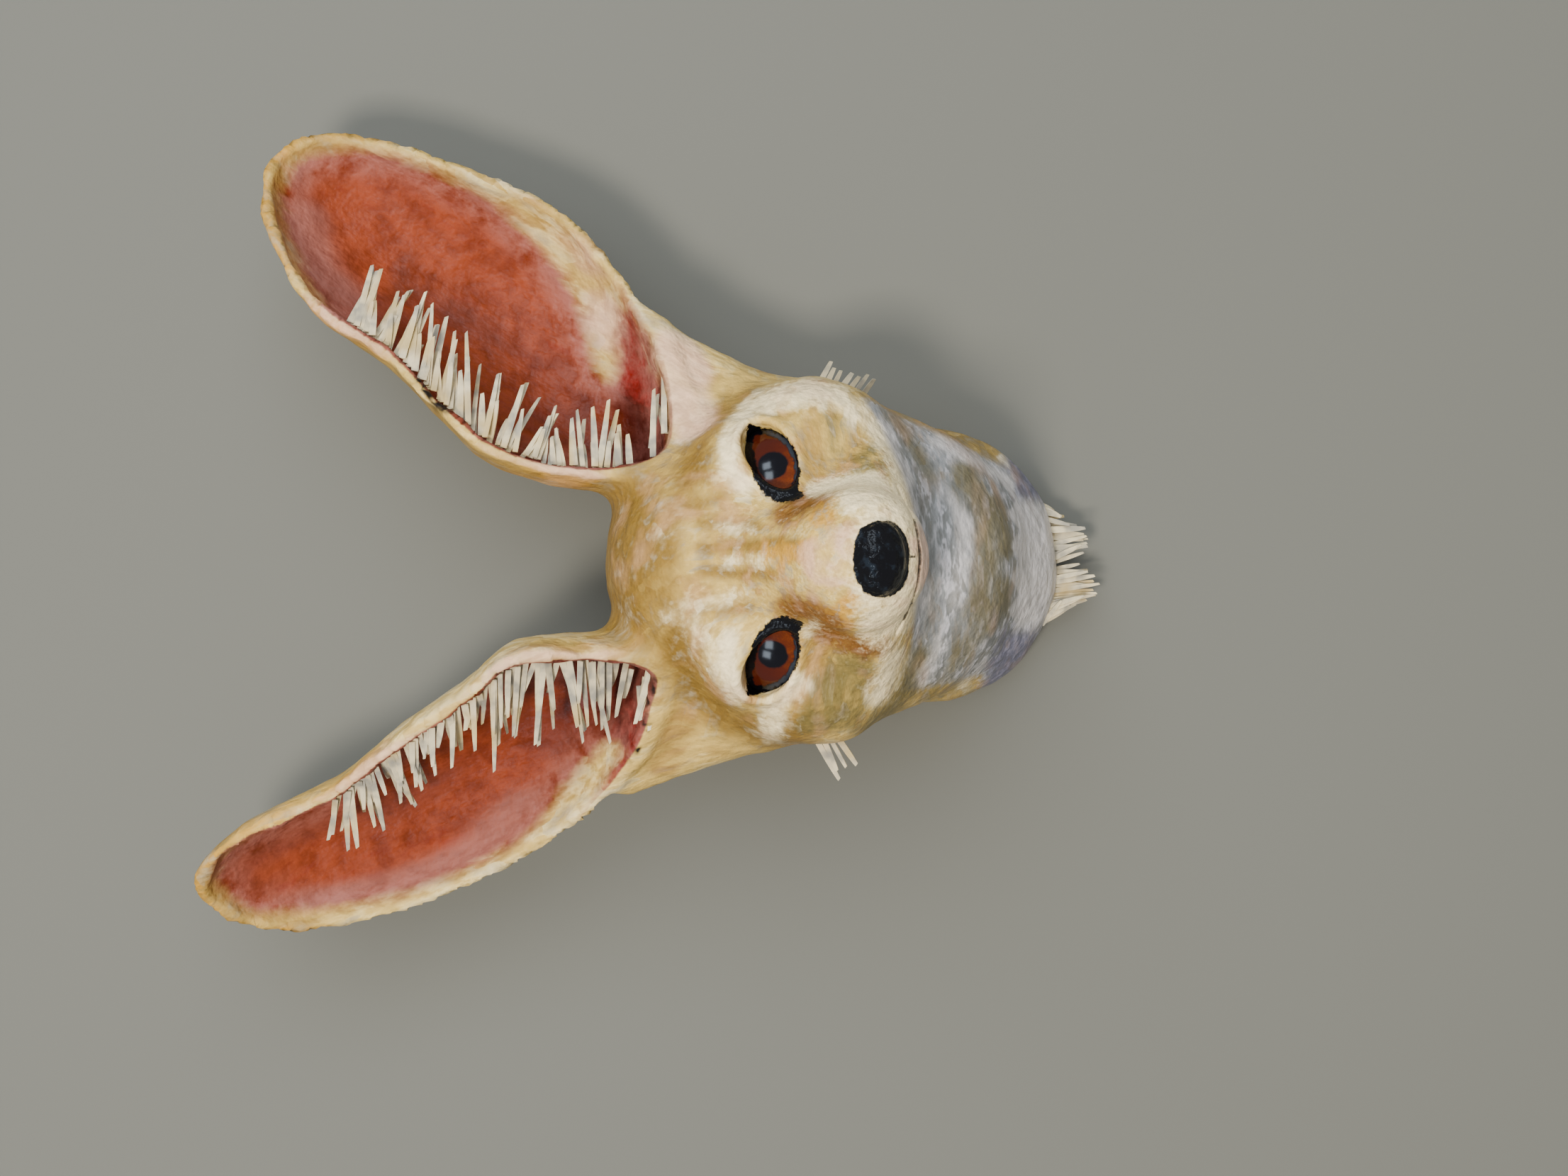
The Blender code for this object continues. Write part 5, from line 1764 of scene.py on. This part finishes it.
    def draw_lines(
        self,
        build: TreeBuilder,
        colour: bpy.types.NodeSocket,
        edges: tuple[bpy.types.NodeSocket, ...],
        fine: bpy.types.NodeSocket,
        medium: bpy.types.NodeSocket,
        place: bpy.types.NodeSocket,
    ) -> tuple[bpy.types.NodeSocket, bpy.types.NodeSocket]:
        """Draw the black nose with patches of painted sheen, the rims of the eyes and the line of the mouth.

        Args:
            build: The material's tree.
            colour: The colour below.
            edges: Distances to the nose, the eyes and the mouth.
            fine: Not used.
            medium: Not used.
            place: Object coordinates.

        Returns:
            The colour and the mask of black paint.
        """
        nose, eye, mouth = edges
        wander = build.math("SUBTRACT", build.noise(place, 420.0, 3.0, 0.6), 0.5)
        ragged = build.math("MULTIPLY_ADD", wander, 0.0016, nose)
        on_nose = build.span(ragged, 0.0002, -0.0002)
        # Painted sheen: bluish patches over the black nose stand in for reflections on its gloss.
        brushed = build.span(build.noise(place, 330.0, 3.0, 0.6), 0.52, 0.72)
        nose_colour = build.mix(brushed, self.black, self.nose_blue_sheen)
        eye_noise = build.math("SUBTRACT", build.noise(place, 700.0, 3.0, 0.6), 0.5)
        rim = build.math("MULTIPLY_ADD", eye_noise, 0.0024, eye)
        on_rim = build.span(rim, 0.0002, -0.0003)
        line = build.math("MULTIPLY_ADD", wander, 0.0009, mouth)
        on_mouth = build.span(line, 0.0013, 0.0008)
        colour = build.mix(build.math("MULTIPLY", on_mouth, 0.92), colour, self.crease)
        colour = build.mix(on_rim, colour, self.black)
        colour = build.mix(on_nose, colour, nose_colour)
        return colour, build.math("MAXIMUM", on_nose, on_rim)


@dataclass(frozen=True)
class EyeGloss:
    """Painted iris and pupil under a clear gloss."""

    outer: Colour = rgb(0.045, 0.006, 0.002)
    # warm and bright are the iris's lighter paints: laid towards its lower side as painted light, and in
    # flecks.
    warm: Colour = rgb(0.080, 0.011, 0.0015)
    bright: Colour = rgb(0.165, 0.034, 0.003)
    pupil: Colour = rgb(0.002, 0.002, 0.004)
    rim: Colour = rgb(0.002, 0.002, 0.003)
    waterline: Colour = rgb(0.022, 0.027, 0.036)
    pupil_radius: float = 4.3
    roughness: float = 0.12
    specular: float = 0.35

    def build(self) -> bpy.types.Material:
        """Make the material that reads the eye's own coordinates."""
        material = new_material("eye_gloss")
        build = TreeBuilder(material.node_tree)
        shader = material.node_tree.nodes["Principled BSDF"]
        place = build.read("iris_place")
        along, high, _ = build.parts(place)
        squares = [build.math("MULTIPLY", way, way) for way in (along, high)]
        far = build.math("SQRT", build.math("ADD", *squares))
        cloud = build.noise(place, 260.0, 3.0, 0.6)
        # Painted light: the iris grows lighter and warmer towards its lower inner side, and the cloud adds a
        # mottle of its own paint.
        glow_and_mottle = build.math("MULTIPLY_ADD", along, -60.0, build.math("MULTIPLY_ADD", high, -45.0, 0.28))
        glow_and_mottle = build.math("ADD", glow_and_mottle, build.math("MULTIPLY_ADD", cloud, 0.8, -0.4))
        colour = build.mix(build.span(glow_and_mottle, 0.0, 1.0), self.outer, self.warm)
        flecks = build.span(build.noise(place, 900.0, 3.0, 0.7), 0.42, 0.66)
        flecked = build.math("MULTIPLY_ADD", flecks, 0.6, 0.4)
        bright = build.math("MULTIPLY", build.span(glow_and_mottle, 0.25, 1.0), flecked)
        colour = build.mix(bright, colour, self.bright)
        shaky = build.math("MULTIPLY_ADD", build.math("SUBTRACT", cloud, 0.5), 0.0012, far)
        radius = self.pupil_radius * MM
        colour = build.mix(build.span(shaky, radius + 0.0004, radius - 0.0004), colour, self.pupil)
        edge, _, height = build.parts(build.read("rim_place"))
        shake = build.math("SUBTRACT", build.noise(place, 600.0, 3.0, 0.6), 0.5)
        jitter = build.math("MULTIPLY_ADD", shake, 0.0022, edge)
        low = build.span(height, -0.001, -0.004)
        colour = build.mix(build.span(jitter, -0.0004, 0.0003), colour, self.rim)
        line = build.math("MULTIPLY", build.span(jitter, -0.0002, 0.0005), build.span(jitter, 0.0016, 0.0009))
        colour = build.mix(build.math("MULTIPLY", line, low), colour, self.waterline)
        build.link(colour, shader.inputs["Base Color"])
        shader.inputs["Roughness"].default_value = self.roughness
        shader.inputs["Specular IOR Level"].default_value = self.specular
        ripple = build.noise(place, 180.0)
        bump = build.node("ShaderNodeBump", {"Strength": 0.12, "Distance": 0.0003, "Height": ripple})
        build.link(bump.outputs[0], shader.inputs["Normal"])
        return material


@dataclass(frozen=True)
class CutPaper:
    """Painted paper cut into strips."""

    light: Colour = rgb(0.68, 0.58, 0.37)
    # Grey of random patches on the strips, and of the painted shade at their roots.
    grey: Colour = rgb(0.30, 0.275, 0.22)
    yellowed: Colour = rgb(0.50, 0.36, 0.14)
    roughness: float = 0.72

    def build(self) -> bpy.types.Material:
        """Make the material that reads each strip's own coordinates."""
        material = new_material("cut_paper")
        build = TreeBuilder(material.node_tree)
        shader = material.node_tree.nodes["Principled BSDF"]
        place = build.node("ShaderNodeTexCoord").outputs["Object"]
        flank = build.node("ShaderNodeAttribute")
        flank.attribute_name = "flank"
        share = build.node("ShaderNodeAttribute")
        share.attribute_name = "share"
        patch = build.noise(place, 190.0, 2.0, 0.5)
        colour = build.mix(build.span(patch, 0.35, 0.7), self.light, self.grey)
        stain = build.math("MULTIPLY", build.span(build.noise(place, 75.0), 0.5, 0.68), 0.8)
        colour = build.mix(stain, colour, self.yellowed)
        lines = build.node("ShaderNodeCombineXYZ", {"X": flank.outputs["Fac"], "Y": patch})
        fibre = build.noise(lines.outputs[0], 7.0, 3.0, 0.6)
        # Painted shade: each strip turns greyer towards its root, where the strips crowd together.
        root_shade = build.span(share.outputs["Fac"], 0.35, 0.0)
        colour = build.mix(build.math("MULTIPLY", root_shade, 0.35), colour, self.grey)
        tone = build.math("MULTIPLY_ADD", fibre, 0.35, 0.82)
        grey = build.node("ShaderNodeCombineColor", {0: tone, 1: tone, 2: tone}).outputs[0]
        colour = build.mix(1.0, colour, grey, "MULTIPLY")
        build.link(colour, shader.inputs["Base Color"])
        shader.inputs["Roughness"].default_value = self.roughness
        bump = build.node("ShaderNodeBump", {"Strength": 0.4, "Distance": 0.0002, "Height": fibre})
        build.link(bump.outputs[0], shader.inputs["Normal"])
        return material


def new_material(name: str) -> bpy.types.Material:
    """Add an empty node material."""
    material = bpy.data.materials.new(name)
    material.use_nodes = True
    return material


@dataclass(frozen=True)
class SoftLight:
    """One square soft light, with its place and width in metres and its power in watts."""

    name: str
    place: tuple[float, float, float]
    size: float
    power: float
    colour: tuple[float, float, float]


@dataclass
class Studio:
    """Camera, lights and the plain wall behind the sculpture."""

    lens: float = 50.0
    sensor: float = 36.0
    lights: tuple[SoftLight, ...] = (
        SoftLight("key_light", (-0.42, -1.42, 0.36), 0.26, 27.0, (1.0, 0.94, 0.85)),
        SoftLight("window_light", (0.60, -1.30, 0.25), 1.3, 26.0, (0.88, 0.94, 1.0)),
    )
    panes: tuple[tuple[float, float, float], ...] = ((0.40, -0.84, 0.36), (0.60, -0.70, 0.40))
    pane_size: float = 0.17
    pane_power: float = 0.9
    pane_colour: tuple[float, float, float] = (0.75, 0.87, 1.0)
    face_spot: tuple[float, float, float] = (0.0, -0.06, 0.02)
    air_colour: Colour = rgb(0.97, 0.98, 1.0)
    air_strength: float = 0.40
    wall_half: float = 4.0
    wall_gap: float = 0.4
    wall_colour: Colour = rgb(0.141, 0.140, 0.119)

    def build(self) -> None:
        """Make the camera, the wall and the lights."""
        self.make_camera()
        self.make_wall()
        for light in self.lights:
            self.make_light(light)
        for side in (-1.0, 1.0):
            for pane, place in enumerate(self.panes):
                name = f"catch_light_{pane}_{'right' if side > 0 else 'left'}"
                spot = (side * place[0], place[1], place[2])
                glint = SoftLight(name, spot, self.pane_size, self.pane_power, self.pane_colour)
                self.make_light(glint).visible_diffuse = False
        world = bpy.data.worlds.new("studio")
        world.use_nodes = True
        air = world.node_tree.nodes["Background"]
        air.inputs["Color"].default_value = self.air_colour
        air.inputs["Strength"].default_value = self.air_strength
        bpy.context.scene.world = world

    def make_camera(self) -> None:
        """Put the camera straight in front, turned so that the ears point to the left."""
        data = bpy.data.cameras.new("camera")
        data.lens = self.lens
        data.sensor_width = self.sensor
        data.clip_start = 0.01
        camera = bpy.data.objects.new("camera", data)
        turned = Matrix(((0, 1, 0, 0), (0, 0, -1, 0), (-1, 0, 0, 0), (0, 0, 0, 1)))
        camera.matrix_world = Matrix.Translation(Vector(VIEWPOINT) * MM) @ turned
        bpy.context.scene.collection.objects.link(camera)
        bpy.context.scene.camera = camera

    def make_wall(self) -> None:
        """Make the pale wall, which is clear from behind."""
        half = self.wall_half / MM
        corners = ((-half, half), (half, half), (half, -half), (-half, -half))
        points = [(x, self.wall_gap, z) for x, z in corners]
        wall = make_object("backdrop", np.array(points), [(0, 3, 2, 1)], [self.wall_paint()])

    def wall_paint(self) -> bpy.types.Material:
        """Plain wall paint that shows from the front only."""
        material = new_material("backdrop_paint")
        build = TreeBuilder(material.node_tree)
        nodes = material.node_tree.nodes
        shader = nodes["Principled BSDF"]
        shader.inputs["Base Color"].default_value = self.wall_colour
        shader.inputs["Roughness"].default_value = 0.75
        clear = build.node("ShaderNodeBsdfTransparent")
        behind = build.node("ShaderNodeNewGeometry").outputs["Backfacing"]
        shadow = build.node("ShaderNodeLightPath").outputs["Is Shadow Ray"]
        pick = build.node("ShaderNodeMixShader", {0: build.math("MAXIMUM", behind, shadow)})
        build.link(shader.outputs[0], pick.inputs[1])
        build.link(clear.outputs[0], pick.inputs[2])
        build.link(pick.outputs[0], nodes["Material Output"].inputs[0])
        return material

    def make_light(self, soft: SoftLight) -> bpy.types.Object:
        """Add a soft light aimed at the face.

        Args:
            soft: What the light is like.

        Returns:
            The light.
        """
        data = bpy.data.lights.new(soft.name, "AREA")
        data.size = soft.size
        data.energy = soft.power
        data.color = soft.colour
        light = bpy.data.objects.new(soft.name, data)
        light.location = soft.place
        aim = Vector(self.face_spot) - Vector(soft.place)
        light.rotation_euler = aim.to_track_quat("-Z", "Y").to_euler()
        bpy.context.scene.collection.objects.link(light)
        light.visible_glossy = soft.name.startswith("catch")
        return light


LEFT_EAR = Ear(
    name="left",
    origin=(46.9, -74.8, 42.5),
    back=(-0.407, 0.907, 0.109),
    up=(0.483, 0.112, 0.868),
    outline=(
        (14, 132), (26, 125), (34, 106), (39, 80), (41, 56), (33, 30), (16, 4), (0, -10),
        (-14, -14), (-27, 3), (-34, 26), (-31, 45), (-24, 68), (-21, 96), (-10, 116), (2, 128),
    ),
    half_width=34.0,
    depths=((-16.0, 35.0), (20.0, 32.0), (70.0, 27.0), (110.0, 18.0), (135.0, 11.0)),
    red_outline=(
        (-26, 88), (-19, 102), (-9, 116), (2, 126), (12, 128), (21, 125), (28, 116), (34, 103), (36, 87),
        (36, 71), (32, 57), (27, 44), (18, 29), (6, 17), (2, 11), (13, 15), (26, 21), (31, 24), (26, 15),
        (17, 5), (7, -6), (-5, -15), (-18, -18), (-33, 3), (-41, 26), (-38, 45), (-31, 68),
    ),
    pocket=((24, 20), (10, 8), (-4, -4), (-14, -8)),
    streaks=(((-20, 88), (-12, 102), (-2, 114)),),
    creases=(((-30, 47), (-27, 58)),),
    clusters=(
        Cluster(77, 85, 7, 19, 7), Cluster(70, 77, 7, 21, 4), Cluster(61, 68, 6, 20, 5),
        Cluster(53, 58, 4, 24, 9), Cluster(44, 50, 4, 22, 8), Cluster(35, 41, 4, 24, 12),
        Cluster(29, 33, 3, 24, 8), Cluster(23, 27, 3, 22, 4), Cluster(14, 20, 5, 16, 2),
        Cluster(8, 12, 3, 12, 6), Cluster(2, 6, 3, 16, 9), Cluster(-3, 0, 3, 19, 8),
        Cluster(-7, -5, 2, 14, 6), Cluster(-13, -10, 3, 20, 11),
    ),
)
RIGHT_EAR = Ear(
    name="right",
    origin=(-44.7, -77.0, 46.4),
    back=(0.599, 0.785, 0.158),
    up=(-0.386, 0.110, 0.916),
    outline=(
        (4, 137), (18, 132), (29, 117), (35, 92), (36, 72), (33, 46), (26, 24), (12, 4), (-3, -9),
        (-13, -13), (-23, 2), (-31, 20), (-26, 36), (-19, 64), (-12, 88), (-11, 117), (-5, 132),
    ),
    half_width=30.0,
    depths=((-16.0, 32.0), (15.0, 24.5), (60.0, 22.5), (110.0, 18.0), (135.0, 11.0)),
    red_outline=(
        (-16, 104), (-11, 126), (-2, 133), (12, 132), (19, 124), (25, 111), (30, 97), (33, 83), (33, 68),
        (31, 54), (27, 42), (20, 30), (13, 19), (8, 10), (11, 7), (18, 14), (25, 22), (29, 27), (31, 24),
        (25, 13), (16, 2), (3, -9), (-6, -16), (-18, -16), (-29, 2), (-36, 20), (-31, 36), (-24, 64),
        (-17, 88),
    ),
    pocket=((28, 24), (18, 10), (8, 0), (-6, -9)),
    streaks=(((20, 112), (26, 92), (26, 66), (16, 40)),),
    creases=(((12, 1), (3, -8), (-5, -13)),),
    clusters=(
        Cluster(85, 88, 2, 13, 9), Cluster(80, 84, 3, 19, 10), Cluster(73, 79, 4, 22, 7),
        Cluster(63, 69, 5, 23, 5), Cluster(56, 60, 3, 18, 5), Cluster(50, 54, 3, 13, 4),
        Cluster(41, 46, 4, 17, 6), Cluster(33, 38, 3, 16, 6), Cluster(24, 29, 4, 28, 11),
        Cluster(16, 21, 4, 27, 13), Cluster(10, 14, 3, 28, 13), Cluster(5, 8, 3, 27, 8),
        Cluster(0, 3, 3, 30, 10), Cluster(-5, -2, 3, 25, 10), Cluster(-10, -7, 3, 21, 11),
        Cluster(-15, -12, 4, 18, 9),
    ),
)


def settle_piece(piece: bpy.types.Object, slot: str, *nodes: str) -> None:
    """Let a piece ride on the body and stand for its CAD nodes.

    Args:
        piece: The finished piece.
        slot: Not used.
        nodes: The CAD nodes that it replaces.
    """
    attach(piece, BODY)
    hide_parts(*nodes)
    LOG.info("%s: %d faces", piece.name, len(piece.data.polygons))


def main() -> None:
    """Build every piece, dress it, and set up the studio."""
    logging.basicConfig(level=logging.INFO, format="%(name)s %(message)s")
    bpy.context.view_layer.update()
    paper = PaintedPaper().build()
    gloss = EyeGloss().build()
    cut_paper = CutPaper().build()
    eyes = (Eye(1.0), Eye(-1.0))
    skin = Skin((LEFT_EAR, RIGHT_EAR), eyes, Nose(), Mouth())
    skin_piece = skin.build(paper)
    SkinPaint(skin).dress(skin_piece)
    settle_piece(skin_piece, "painted_paper", "head")
    for eye in eyes:
        settle_piece(eye.build(gloss), "eye_gloss", eye.name)
    for ear in (LEFT_EAR, RIGHT_EAR):
        strips = EarFringe(ear).strips().build(cut_paper)
        settle_piece(strips, "cut_paper", "ear_fringe_" + ear.name)
    tufts = (
        CheekTuft("cheek_strips_left", 1.0, -58.0, -10.0, -23.0, 6.5, 4.2),
        CheekTuft("cheek_strips_right", -1.0, -66.0, -10.0, -16.0, 9.5, 5.5, 4),
    )
    for tuft, node in zip(tufts, ("cheek_tuft_left", "cheek_tuft_right")):
        settle_piece(tuft.strips(skin).build(cut_paper), "cut_paper", node)
    settle_piece(ThroatFringe().strips(skin).build(cut_paper), "cut_paper", "throat_fringe")
    Studio().build()


if __name__ == "__main__":
    main()
